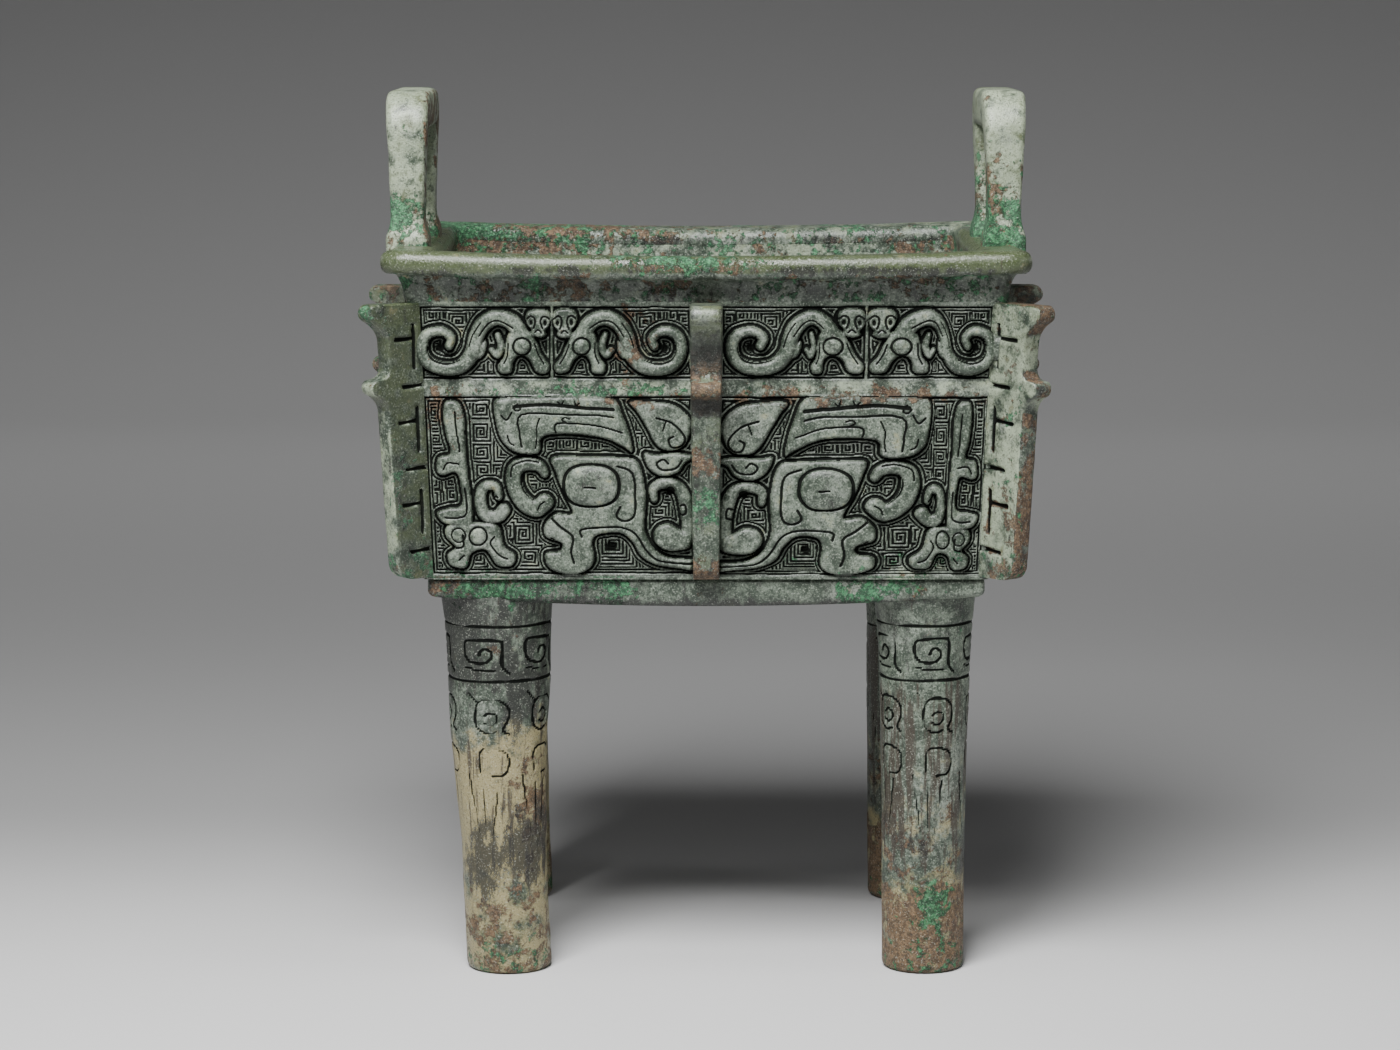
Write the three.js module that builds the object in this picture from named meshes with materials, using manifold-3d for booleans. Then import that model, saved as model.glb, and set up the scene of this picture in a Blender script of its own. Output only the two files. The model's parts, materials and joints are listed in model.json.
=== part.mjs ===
import * as THREE from "three";
import { mergeVertices } from "three/addons/utils/BufferGeometryUtils.js";
import Module from "manifold-3d";

const wasm = await Module();
wasm.setup();

// Driving dimensions, in millimetres. X runs along the long side, Y goes to the back, Z is up.
const WALL_FOOT_LENGTH = 188;
const WALL_FOOT_DEPTH = 145;
const WALL_RISE = 91;
// Each wall leans out by this from its foot to its top.
const WALL_FLARE = 3.5;
const WALL_TOP_LENGTH = WALL_FOOT_LENGTH + 2 * WALL_FLARE;
const WALL_TOP_DEPTH = WALL_FOOT_DEPTH + 2 * WALL_FLARE;
const WALL_THICKNESS = 6.5;
const FLOOR_THICKNESS = 6;
const BODY_CORNER = 2;
const BASIN_CORNER = 9;

const RIM_HEIGHT = 243;
const RIM_SAG = 2;
const LIP_THICKNESS = 8;
const LIP_WIDTH = 15.2;
const LIP_CORNER = 8;
const NECK_SPREAD = 2.6;
const NECK_HEIGHT = 9;
// The lip stands out past the top of the walls by these, at the ends and at the front and back.
const LIP_OVERHANG_ENDS = 7.7;
const LIP_OVERHANG_FRONT = 9.5;
const RIM_LENGTH = WALL_TOP_LENGTH + 2 * LIP_OVERHANG_ENDS;
const RIM_DEPTH = WALL_TOP_DEPTH + 2 * LIP_OVERHANG_FRONT;
const MOUTH_LENGTH = RIM_LENGTH - 2 * LIP_WIDTH;
const MOUTH_DEPTH = RIM_DEPTH - 2 * LIP_WIDTH;
const WALL_TOP_Z = RIM_HEIGHT - LIP_THICKNESS - NECK_HEIGHT;
const WALL_FOOT_Z = WALL_TOP_Z - WALL_RISE;

const PLINTH_HEIGHT = 7;
const PLINTH_INSET = 2.6;
const PLINTH_ROUND = 1.8;
const BELLY_SAG = 3;

const LEG_RADIUS = 14.2;
const LEG_FLARE = 2.2;
const LEG_FLARE_HEIGHT = 34;
const LEG_FOOT_ROUND = 1.3;
const LEG_DEPTH_INSET = 20.5;
// Each leg leaves the belly at its inset from the wall's end, and its foot leans in by a little.
const LEGS = [
  { side: -1, back: -1, inset: 24.4, lean: 4.6 },
  { side: 1, back: -1, inset: 21.7, lean: -1.2 },
  { side: -1, back: 1, inset: 20.6, lean: 3.4 },
  { side: 1, back: 1, inset: 21.7, lean: -1 },
];

const HANDLE_HEIGHT = 49.5;
const HANDLE_LENGTH = 66;
const HANDLE_POST = 13;
const HANDLE_FOOT_THICKNESS = 11.2;
const HANDLE_TOP_THICKNESS = 15.6;
const HANDLE_INSET = 5.5;
const HANDLE_CENTRE = RIM_LENGTH / 2 - HANDLE_INSET;
const HANDLE_ROUND = 1.8;
const COLLAR_RADIUS = 9;
const COLLAR_HEIGHT = 4.5;

const FLANGE_TOP_Z = WALL_TOP_Z - 0.4;
const FLANGE_FOOT_Z = WALL_FOOT_Z + 0.6;
const FLANGE_REACH = 12.2;
const FLANGE_NECK = 11;
const HOOK_REACH = 18;
const HOOK_ROUND = 3;
const LOWER_HOOK_DROP = 24.6;
const CORNER_FLANGE_THICKNESS = 7.2;
const MID_FLANGE_TOP_THICKNESS = 10.6;
const MID_FLANGE_FOOT_THICKNESS = 8.4;
// The corner flanges were set by hand: each has its own angle from the long side and its own reach.
const CORNER_FLANGES = [
  { x: -1, y: -1, angle: 38, extra: -1.5 },
  { x: 1, y: -1, angle: 52, extra: 1.5 },
  { x: -1, y: 1, angle: 45, extra: 0 },
  { x: 1, y: 1, angle: 45, extra: 0 },
];
const SLOT_WIDTH = 1.6;
const SLOT_DEPTH = 1.3;
const SLOT_PITCH = 27;
const SLOT_COUNT = 3;
const SLOT_FIRST_DROP = 11.2;
const SLOT_STEM_UP = 4.2;
const SLOT_STEM_DOWN = 9.8;

const PANEL_INNER = 5.5;
const PANEL_OUTER_MARGIN = 4.6;
const FRIEZE_FOOT = 65;
const RELIEF_HEIGHT = 1.5;
const BODY_RELIEF_HEIGHT = 2;
const EYE_HEIGHT = 2.6;
const RELIEF_ROOT = 1.5;
// The back and the short sides are plainer: their outlines and bands keep these shares of the front's
// steps, the smallest shapes are left out, and the flanges of the back have no slots.
const PLAIN_OUTLINES = 0.5;
const PLAIN_BANDS = 0.62;

const COLOURS = { patina: 0x7d8a74 };

// Solids and how they are joined

function solidOf(geometry) {
  const plain = geometry.clone();
  plain.deleteAttribute("normal");
  plain.deleteAttribute("uv");
  const merged = mergeVertices(plain, 1e-4);
  const mesh = new wasm.Mesh({
    numProp: 3,
    vertProperties: new Float32Array(merged.attributes.position.array),
    triVerts: new Uint32Array(merged.index.array),
  });
  mesh.merge();
  return new wasm.Manifold(mesh);
}

function joined(solids) {
  return solids.reduce((sum, solid) => sum.add(solid));
}

function geometryOf(solid) {
  const mesh = solid.getMesh();
  const geometry = new THREE.BufferGeometry();
  geometry.setAttribute("position", new THREE.BufferAttribute(mesh.vertProperties, 3));
  geometry.setIndex(new THREE.BufferAttribute(mesh.triVerts, 1));
  const flat = geometry.toNonIndexed();
  flat.computeVertexNormals();
  return flat;
}

// Moves every vertex of a geometry by a function of its place.
function warped(geometry, place) {
  const position = geometry.attributes.position;
  const point = new THREE.Vector3();
  for (let i = 0; i < position.count; i++) {
    point.fromBufferAttribute(position, i);
    const moved = place(point);
    position.setXYZ(i, moved.x, moved.y, moved.z);
  }
  return geometry;
}

// A closed solid through rings of equally many points, from the lowest ring to the highest.
function loft(rings) {
  const count = rings[0].length;
  const positions = [];
  const index = [];
  for (const ring of rings) {
    for (const point of ring) positions.push(point.x, point.y, point.z);
  }
  for (let k = 0; k + 1 < rings.length; k++) {
    for (let i = 0; i < count; i++) {
      const a = k * count + i;
      const b = k * count + ((i + 1) % count);
      index.push(a, b, b + count, a, b + count, a + count);
    }
  }
  for (const [k, flip] of [[0, true], [rings.length - 1, false]]) {
    const flat = rings[k].map((point) => new THREE.Vector2(point.x, point.y));
    for (const [a, b, c] of THREE.ShapeUtils.triangulateShape(flat, [])) {
      const base = k * count;
      if (flip) index.push(base + a, base + c, base + b);
      else index.push(base + a, base + b, base + c);
    }
  }
  const geometry = new THREE.BufferGeometry();
  geometry.setAttribute("position", new THREE.Float32BufferAttribute(positions, 3));
  geometry.setIndex(index);
  return geometry;
}

// A rounded rectangle at one height, sagging by a part of its height between its corners.
const SIDE_STEPS = 3;
const CORNER_STEPS = 2;

function rectangleRing(halfLength, halfDepth, corner, z, sag) {
  const ring = [];
  const corners = [[1, 1, 0], [-1, 1, 90], [-1, -1, 180], [1, -1, 270]];
  corners.forEach(([sx, sy, start], k) => {
    for (let i = 0; i <= CORNER_STEPS; i++) {
      const angle = THREE.MathUtils.degToRad(start + (90 * i) / CORNER_STEPS);
      ring.push(new THREE.Vector3(
        sx * (halfLength - corner) + corner * Math.cos(angle),
        sy * (halfDepth - corner) + corner * Math.sin(angle),
        z,
      ));
    }
    const [nx, ny, next] = corners[(k + 1) % 4];
    const turn = THREE.MathUtils.degToRad(next);
    const from = ring[ring.length - 1];
    const to = new THREE.Vector3(
      nx * (halfLength - corner) + corner * Math.cos(turn),
      ny * (halfDepth - corner) + corner * Math.sin(turn),
      z,
    );
    for (let i = 1; i < SIDE_STEPS; i++) ring.push(from.clone().lerp(to, i / SIDE_STEPS));
  });
  for (const point of ring) {
    const along = Math.max(Math.abs(point.x) / halfLength, Math.abs(point.y) / halfDepth);
    const across = Math.min(Math.abs(point.x) / halfLength, Math.abs(point.y) / halfDepth);
    if (along > 0) point.z -= sag * (1 - across * across);
  }
  return ring;
}

// The vessel: flared walls, neck, rounded lip, plinth band and belly, hollowed by its basin

const wallSlope = WALL_FLARE / WALL_RISE;
const wallX = (z) => WALL_FOOT_LENGTH / 2 + wallSlope * (z - WALL_FOOT_Z);
const wallY = (z) => WALL_FOOT_DEPTH / 2 + wallSlope * (z - WALL_FOOT_Z);

function outerRing(grow, corner, z, sag) {
  return rectangleRing(WALL_TOP_LENGTH / 2 + grow, WALL_TOP_DEPTH / 2 + grow, corner, z, sag);
}

function lipRing(inward, z) {
  const corner = Math.max(LIP_CORNER - inward, 1);
  return rectangleRing(RIM_LENGTH / 2 - inward, RIM_DEPTH / 2 - inward, corner, z, RIM_SAG);
}

function vessel() {
  const plinthX = WALL_FOOT_LENGTH / 2 - PLINTH_INSET;
  const plinthY = WALL_FOOT_DEPTH / 2 - PLINTH_INSET / 2;
  const plinthZ = WALL_FOOT_Z - PLINTH_HEIGHT;
  const lipFoot = RIM_HEIGHT - LIP_THICKNESS;
  const round = LIP_THICKNESS / 2;
  const outside = loft([
    rectangleRing(plinthX - PLINTH_ROUND * 2, plinthY - PLINTH_ROUND * 2, BODY_CORNER, plinthZ, BELLY_SAG),
    rectangleRing(plinthX - PLINTH_ROUND * 0.4, plinthY - PLINTH_ROUND * 0.4, BODY_CORNER,
      plinthZ + PLINTH_ROUND * 0.6, BELLY_SAG),
    rectangleRing(plinthX, plinthY, BODY_CORNER, plinthZ + PLINTH_ROUND * 1.6, 0),
    rectangleRing(plinthX, plinthY, BODY_CORNER, WALL_FOOT_Z - 0.8, 0),
    rectangleRing(wallX(WALL_FOOT_Z), wallY(WALL_FOOT_Z), BODY_CORNER, WALL_FOOT_Z, 0),
    outerRing(0, BODY_CORNER, WALL_TOP_Z, 0),
    outerRing(NECK_SPREAD * 0.35, BODY_CORNER, WALL_TOP_Z + NECK_HEIGHT * 0.55, 0),
    outerRing(NECK_SPREAD, BODY_CORNER * 2, lipFoot + 0.6, RIM_SAG),
    lipRing(round * 0.5, lipFoot + 0.1),
    lipRing(0, lipFoot + round * 0.75),
    lipRing(0.2, RIM_HEIGHT - round * 0.75),
    lipRing(round * 0.45, RIM_HEIGHT - 0.7),
    lipRing(round * 1.1, RIM_HEIGHT),
  ]);
  const basinFoot = WALL_FOOT_Z - PLINTH_HEIGHT + FLOOR_THICKNESS;
  const inX = (z) => wallX(z) - WALL_THICKNESS;
  const inY = (z) => wallY(z) - WALL_THICKNESS;
  const filletZ = basinFoot + BASIN_CORNER;
  const basin = loft([
    rectangleRing(inX(filletZ) - BASIN_CORNER, inY(filletZ) - BASIN_CORNER, 1, basinFoot, 0),
    rectangleRing(inX(filletZ) - BASIN_CORNER * 0.3, inY(filletZ) - BASIN_CORNER * 0.3,
      BASIN_CORNER * 0.7, basinFoot + BASIN_CORNER * 0.3, 0),
    rectangleRing(inX(filletZ), inY(filletZ), BASIN_CORNER, filletZ, 0),
    rectangleRing(inX(WALL_TOP_Z), inY(WALL_TOP_Z), BASIN_CORNER, WALL_TOP_Z, 0),
    rectangleRing(MOUTH_LENGTH / 2 - 1, MOUTH_DEPTH / 2 - 1, BASIN_CORNER, RIM_HEIGHT - RIM_SAG - 1.5, 0),
    rectangleRing(MOUTH_LENGTH / 2 + 0.6, MOUTH_DEPTH / 2 + 0.6, BASIN_CORNER, RIM_HEIGHT + 1, 0),
  ]);
  return solidOf(outside).subtract(solidOf(basin));
}

// Four round legs that taper, flare under the belly and end in a flat foot

const LEG_SIDES = 14;

function circleRing(x, y, radius, z) {
  const ring = [];
  for (let i = 0; i < LEG_SIDES; i++) {
    const angle = (2 * Math.PI * i) / LEG_SIDES;
    ring.push(new THREE.Vector3(x + radius * Math.cos(angle), y + radius * Math.sin(angle), z));
  }
  return ring;
}

function leg({ side, back, inset, lean }) {
  const rootZ = WALL_FOOT_Z - PLINTH_HEIGHT + FLOOR_THICKNESS / 2;
  const y = back * (WALL_FOOT_DEPTH / 2 - LEG_DEPTH_INSET);
  const x = (z) => side * (WALL_FOOT_LENGTH / 2 - inset - lean * (1 - z / rootZ));
  const radius = (z) => {
    const rise = Math.max(0, (z - (rootZ - LEG_FLARE_HEIGHT)) / LEG_FLARE_HEIGHT);
    return LEG_RADIUS * (1 + 0.02 * (z / rootZ)) + LEG_FLARE * rise * rise;
  };
  const rings = [circleRing(x(0), y, LEG_RADIUS - LEG_FOOT_ROUND, 0)];
  const heights = [LEG_FOOT_ROUND, rootZ - LEG_FLARE_HEIGHT, rootZ - LEG_FLARE_HEIGHT / 2, rootZ];
  for (const z of heights) rings.push(circleRing(x(z), y, radius(z), z));
  return solidOf(loft(rings));
}

// Two upright handles, each an arch with an opening, thicker towards its top

function handle(side) {
  const half = HANDLE_LENGTH / 2;
  const sink = LIP_THICKNESS * 0.6;
  const height = HANDLE_HEIGHT + sink - HANDLE_ROUND;
  const outerCorner = HANDLE_POST;
  const innerCorner = HANDLE_POST * 0.6;
  const inner = half - HANDLE_POST;
  const outline = new THREE.Shape();
  outline.moveTo(-half + HANDLE_ROUND, 0);
  outline.lineTo(-half + HANDLE_ROUND, height - outerCorner);
  outline.quadraticCurveTo(-half + HANDLE_ROUND, height, -half + HANDLE_ROUND + outerCorner, height);
  outline.lineTo(half - HANDLE_ROUND - outerCorner, height);
  outline.quadraticCurveTo(half - HANDLE_ROUND, height, half - HANDLE_ROUND, height - outerCorner);
  outline.lineTo(half - HANDLE_ROUND, 0);
  outline.lineTo(inner + HANDLE_ROUND, 0);
  const archZ = height - HANDLE_POST + HANDLE_ROUND * 2;
  outline.lineTo(inner + HANDLE_ROUND, archZ - innerCorner);
  outline.quadraticCurveTo(inner + HANDLE_ROUND, archZ, inner + HANDLE_ROUND - innerCorner, archZ);
  outline.lineTo(-inner - HANDLE_ROUND + innerCorner, archZ);
  outline.quadraticCurveTo(-inner - HANDLE_ROUND, archZ, -inner - HANDLE_ROUND, archZ - innerCorner);
  outline.lineTo(-inner - HANDLE_ROUND, 0);
  const arch = new THREE.ExtrudeGeometry(outline, {
    depth: 1 - 2 * (HANDLE_ROUND / HANDLE_FOOT_THICKNESS),
    curveSegments: 3,
    bevelEnabled: true,
    bevelThickness: HANDLE_ROUND / HANDLE_FOOT_THICKNESS,
    bevelSize: HANDLE_ROUND,
    bevelSegments: 1,
  });
  const footZ = RIM_HEIGHT - sink;
  const offset = HANDLE_ROUND / HANDLE_FOOT_THICKNESS - 0.5;
  return solidOf(warped(arch, (p) => {
    const rise = THREE.MathUtils.clamp((p.y - sink) / HANDLE_HEIGHT, 0, 1);
    const thickness = THREE.MathUtils.lerp(HANDLE_FOOT_THICKNESS, HANDLE_TOP_THICKNESS, rise * rise);
    const x = side * HANDLE_CENTRE + (p.z + offset) * thickness;
    return new THREE.Vector3(x, p.x, footZ + p.y);
  }));
}

function collar(side, end) {
  const lump = new THREE.SphereGeometry(1, 8, 3);
  lump.scale(COLLAR_RADIUS * 0.85, COLLAR_RADIUS, COLLAR_HEIGHT);
  const y = end * (HANDLE_LENGTH - HANDLE_POST) / 2;
  lump.translate(side * HANDLE_CENTRE, y, RIM_HEIGHT - 0.5);
  return solidOf(lump);
}

// Flanges: plates that stand out from each corner and each wall's middle, with two blunt hooks

function hook(outline, reach, top, bottom, neckIn) {
  const middle = (top + bottom) / 2;
  outline.lineTo(reach - HOOK_ROUND, top);
  outline.quadraticCurveTo(reach, top, reach, middle);
  outline.quadraticCurveTo(reach, bottom, reach - HOOK_ROUND, bottom - 0.4);
  outline.quadraticCurveTo(neckIn + 0.6, bottom - 1.4, neckIn, bottom - 5);
}

function flangeOutline(extra) {
  const root = -WALL_THICKNESS * 0.5;
  const upperTop = FLANGE_TOP_Z;
  const lowerTop = FLANGE_TOP_Z - LOWER_HOOK_DROP;
  const outline = new THREE.Shape();
  outline.moveTo(root, upperTop);
  hook(outline, HOOK_REACH + extra, upperTop, upperTop - 5.6, FLANGE_NECK + extra);
  outline.lineTo(FLANGE_NECK + extra, lowerTop + 2.6);
  outline.quadraticCurveTo(FLANGE_NECK + extra, lowerTop + 0.4, FLANGE_NECK + extra + 2.4, lowerTop);
  hook(outline, HOOK_REACH + extra, lowerTop, lowerTop - 5, FLANGE_REACH + extra);
  outline.lineTo(FLANGE_REACH - 1 + extra, FLANGE_FOOT_Z + 5);
  outline.quadraticCurveTo(FLANGE_REACH - 1 + extra, FLANGE_FOOT_Z, FLANGE_REACH - 6 + extra, FLANGE_FOOT_Z);
  outline.lineTo(root, FLANGE_FOOT_Z);
  return outline;
}

function slotShapes(start, face) {
  const half = SLOT_WIDTH / 2;
  const stem = start + face * 0.17;
  const barEnd = start + face * 0.68;
  const shapes = [];
  for (let i = 0; i < SLOT_COUNT; i++) {
    const bar = FLANGE_TOP_Z - SLOT_FIRST_DROP - i * SLOT_PITCH;
    const tee = new THREE.Shape();
    tee.moveTo(stem - half, bar + SLOT_STEM_UP);
    tee.lineTo(stem - half, bar - SLOT_STEM_DOWN);
    tee.lineTo(stem + half, bar - SLOT_STEM_DOWN);
    tee.lineTo(stem + half, bar - half);
    tee.lineTo(barEnd, bar - half);
    tee.lineTo(barEnd, bar + half);
    tee.lineTo(stem + half, bar + half);
    tee.lineTo(stem + half, bar + SLOT_STEM_UP);
    shapes.push(tee);
  }
  return shapes;
}

// The outline lies in the plane of distance from the wall and height, and the plate is as thick across.
// The slots come apart from the plate, to be cut once the relief has been joined on.
function flange(extra, topThickness, footThickness, slotStart, slotted, place) {
  const flat = { depth: 1, bevelEnabled: false, curveSegments: 2 };
  const sheet = new THREE.ExtrudeGeometry(flangeOutline(extra), flat);
  const thickness = (z) => {
    const rise = (z - FLANGE_FOOT_Z) / (FLANGE_TOP_Z - FLANGE_FOOT_Z);
    return THREE.MathUtils.lerp(footThickness, topThickness, rise);
  };
  const plate = solidOf(warped(sheet, (p) => place(p.x, (p.z - 0.5) * thickness(p.y), p.y)));
  const slots = [];
  const face = FLANGE_REACH + extra - slotStart;
  for (const shape of slotted ? slotShapes(slotStart, face) : []) {
    for (const side of [-1, 1]) {
      const cut = new THREE.ExtrudeGeometry(shape, flat);
      warped(cut, (p) => {
        const edge = thickness(p.y) / 2;
        const start = side > 0 ? edge - SLOT_DEPTH : -edge - 1;
        return place(p.x, start + p.z * (SLOT_DEPTH + 1), p.y);
      });
      slots.push(solidOf(cut));
    }
  }
  return { plate, slots };
}

function cornerFlange({ x, y, angle, extra }) {
  const turn = THREE.MathUtils.degToRad(angle);
  const ex = x * Math.cos(turn);
  const ey = y * Math.sin(turn);
  const place = (r, t, z) => new THREE.Vector3(
    x * wallX(z) + r * ex + t * ey,
    y * wallY(z) + r * ey - t * ex,
    z,
  );
  const slotStart = -CORNER_FLANGE_THICKNESS / 2;
  return flange(extra, CORNER_FLANGE_THICKNESS, CORNER_FLANGE_THICKNESS, slotStart, y < 0, place);
}

function midFlange(x, y) {
  const place = (r, t, z) => new THREE.Vector3(
    x * (wallX(z) + r) + y * t,
    y * (wallY(z) + r) - x * t,
    z,
  );
  return flange(0, MID_FLANGE_TOP_THICKNESS, MID_FLANGE_FOOT_THICKNESS, 0, y <= 0, place);
}

// Relief. Each motif is drawn on one half of a wall, on a sheet of 94 by 91 units that covers it: u runs
// from the wall's middle to its end and v from its foot up. The short walls squeeze the same sheet.

const SHEET = { across: 94, up: 91 };
const LONG_SPAN = WALL_FOOT_LENGTH / 2;
const acrossUnit = LONG_SPAN / SHEET.across;
const upUnit = WALL_RISE / SHEET.up;

function spline(points, steps) {
  const curve = new THREE.CatmullRomCurve3(points.map(([u, v]) => new THREE.Vector3(u, v, 0)));
  return curve.getSpacedPoints(steps).map((p) => new THREE.Vector2(p.x, p.y));
}

// A band along a smooth line, with its width given at its start, middle and end.
function band(points, widths, steps) {
  const line = spline(points, steps);
  const left = [];
  const right = [];
  line.forEach((point, i) => {
    const before = line[Math.max(i - 1, 0)];
    const after = line[Math.min(i + 1, steps)];
    const across = after.clone().sub(before).normalize();
    const t = (2 * i) / steps;
    const width = t < 1
      ? THREE.MathUtils.lerp(widths[0], widths[1], t)
      : THREE.MathUtils.lerp(widths[1], widths[2], t - 1);
    const side = new THREE.Vector2(-across.y, across.x).multiplyScalar(width / 2);
    left.push(point.clone().add(side));
    right.unshift(point.clone().sub(side));
  });
  return left.concat(right);
}

// A closed smooth outline through the given points.
function blob(points, steps) {
  const curve = new THREE.CatmullRomCurve3(points.map(([u, v]) => new THREE.Vector3(u, v, 0)), true);
  return curve.getSpacedPoints(steps).slice(0, steps).map((p) => new THREE.Vector2(p.x, p.y));
}

// Half of the great mask: horn, socket with jaw, ear, crest, nose and nostril.
const MASK = [
  { outline: [[30, 59.5], [48, 61.2], [67, 60], [68.6, 56], [67, 46], [62, 41.8], [54, 41.6], [53.5, 46.5],
    [49, 47.6], [34, 46.4], [25, 43], [23.6, 42.6], [25.5, 51]], steps: 13, height: RELIEF_HEIGHT },
  { outline: [[21, 38], [28, 40], [49, 40], [47.5, 32], [43, 21], [51.5, 20], [51.5, 14], [46.8, 11.5],
    [48.6, 8.2], [52, 6.4], [49, 2.6], [42, 1.6], [37, 6], [37.4, 14], [28, 15.2], [21.5, 8], [14, 3.6],
    [6, 3], [6, 6], [16, 8.6], [19, 14], [20, 26]], steps: 22, height: RELIEF_HEIGHT },
  { line: [[58.6, 34.6], [57, 32], [54.6, 33.4], [54.8, 37.4], [59, 39.8], [63.6, 38.4], [64.2, 32],
    [62.4, 26], [58, 22], [53, 22.6], [52.4, 26], [54.8, 26.6]], widths: [2.2, 5, 3.4], steps: 9,
    height: RELIEF_HEIGHT },
  { outline: [[6, 53], [11, 57.6], [24, 58.2], [20, 52], [16, 44], [14, 42], [7.4, 43.6], [5.6, 48]],
    steps: 7, height: RELIEF_HEIGHT * 0.8 },
  { outline: [[6, 40], [13, 40.4], [20, 41.6], [19.6, 36], [15.6, 34], [9, 34.6], [6, 37]], steps: 6,
    height: RELIEF_HEIGHT },
  { line: [[7.4, 15], [7, 25], [9.6, 31], [14.6, 32], [17.4, 29], [15.6, 26.4]], widths: [4, 3.8, 2],
    steps: 6, height: RELIEF_HEIGHT },
  { outline: [[6, 10], [10.6, 9], [16.6, 10], [18, 14], [15.6, 18], [10.8, 17.6], [6.4, 15.4]], steps: 7,
    height: RELIEF_HEIGHT * 1.2 },
];

// The upright dragon at the outer end of each lower panel: body with its wing, claw, head with two feet.
const UPRIGHT_DRAGON = [
  { outline: [[81.5, 58], [85.4, 57.6], [84.6, 46], [84, 41.4], [87.4, 38.6], [87.4, 34], [84.8, 35],
    [81, 35], [80.4, 24], [86, 22.4], [84.8, 18.8], [77, 17.4], [77, 32], [78.2, 48]], steps: 14,
    height: RELIEF_HEIGHT },
  { line: [[69, 25.4], [67.4, 28.6], [70.4, 31], [73, 28.4], [72.6, 22], [69, 20.6]], widths: [2, 4, 4],
    steps: 5, height: RELIEF_HEIGHT },
  { outline: [[67, 17.4], [75, 19.4], [84, 17.6], [84, 14], [81.6, 11], [84.6, 8.4], [82, 4.4], [78.4, 4.6],
    [77, 9.4], [71.4, 9.4], [67, 4.2], [63.4, 5.4], [66.4, 10.6]], steps: 13, height: RELIEF_HEIGHT },
];

// One dragon of the frieze: curled tail and arched body, head with two feet, and the little mask above.
const FRIEZE_DRAGON = [
  { line: [[17.6, 11], [19, 14], [16, 16], [11.4, 15.4], [9.4, 11], [10.4, 6.8], [14.4, 4.6], [20, 5],
    [23.6, 8.6], [25, 13.6], [27, 19], [31.4, 21.6], [36.6, 20.8], [39.6, 17.4], [41, 13]],
    widths: [2.4, 4.4, 5], steps: 13, height: BODY_RELIEF_HEIGHT },
  { outline: [[37.6, 14.6], [45, 13.6], [47.4, 8], [48, 4.4], [44.6, 3.8], [43.6, 7.6], [39.4, 7.6],
    [37.6, 3.6], [34.4, 4], [36.2, 9]], steps: 9, height: BODY_RELIEF_HEIGHT },
  { outline: [[25, 7], [29, 8], [31.4, 11], [29.4, 13.4], [26, 12]], steps: 5,
    height: RELIEF_HEIGHT, small: true },
  { outline: [[42, 21.4], [46, 22.4], [49.4, 21], [49, 17], [45.6, 14.6], [42.6, 17]], steps: 6,
    height: RELIEF_HEIGHT, small: true },
];

function drawn(part, plain) {
  const share = part.line ? PLAIN_BANDS : PLAIN_OUTLINES;
  const steps = plain ? Math.max(4, Math.round(part.steps * share)) : part.steps;
  return part.line ? band(part.line, part.widths, steps) : blob(part.outline, steps);
}

const DRAGON_MIRROR = 50;
const EYES = [
  { u: 37.6, v: 31, width: 16.8, height: 13, rise: EYE_HEIGHT },
  { u: 75, v: 14.4, width: 5.4, height: 5.4, rise: EYE_HEIGHT * 0.8 },
];

function raised(part, plain, place) {
  const shape = new THREE.Shape(drawn(part, plain).map((p) => place(p)));
  const depth = part.height + RELIEF_ROOT;
  const geometry = new THREE.ExtrudeGeometry(shape, { depth, bevelEnabled: false });
  geometry.translate(0, 0, -RELIEF_ROOT);
  return solidOf(geometry);
}

const DOME_SIDES = 8;

function dome(u, v, width, height, rise) {
  const profile = [[0, -RELIEF_ROOT], [1, -RELIEF_ROOT], [1, rise * 0.35], [0.72, rise * 0.85], [0, rise]];
  const lathe = new THREE.LatheGeometry(profile.map(([r, h]) => new THREE.Vector2(r, h)), DOME_SIDES);
  lathe.rotateX(Math.PI / 2);
  lathe.scale(width / 2, height / 2, 1);
  lathe.translate(u, v, 0);
  return solidOf(lathe);
}

// All the relief of one wall, in that wall's own plane: u to the side, v up the wall, out of it third.
function wallRelief(squeeze, plain) {
  const solids = [];
  for (const side of [-1, 1]) {
    const spread = (u) => side * (PANEL_INNER + (u * acrossUnit - PANEL_INNER) * squeeze);
    const put = (p) => new THREE.Vector2(spread(p.x), p.y * upUnit);
    for (const part of [...MASK, ...UPRIGHT_DRAGON]) solids.push(raised(part, plain, put));
    for (const { u, v, width, height, rise } of EYES) {
      solids.push(dome(spread(u), v * upUnit, width * acrossUnit * squeeze, height * upUnit, rise));
    }
    for (const far of [false, true]) {
      const along = (u) => (far ? 2 * DRAGON_MIRROR - u : u);
      const lift = (p) => new THREE.Vector2(spread(along(p.x)), p.y * upUnit + FRIEZE_FOOT);
      for (const part of FRIEZE_DRAGON) {
        if (!(plain && part.small)) solids.push(raised(part, plain, lift));
      }
    }
  }
  return joined(solids);
}

// A wall leans out, so its plane turns about its foot line before it is set on one of the four sides.
function onWall(solid, quarter, foot) {
  const lean = new THREE.Matrix4().makeRotationX(Math.PI / 2 + Math.atan(wallSlope));
  const place = new THREE.Matrix4().makeTranslation(0, -foot, WALL_FOOT_Z);
  const turn = new THREE.Matrix4().makeRotationZ((quarter * Math.PI) / 2);
  const matrix = turn.multiply(place).multiply(lean);
  return solid.transform(matrix.elements);
}

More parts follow.
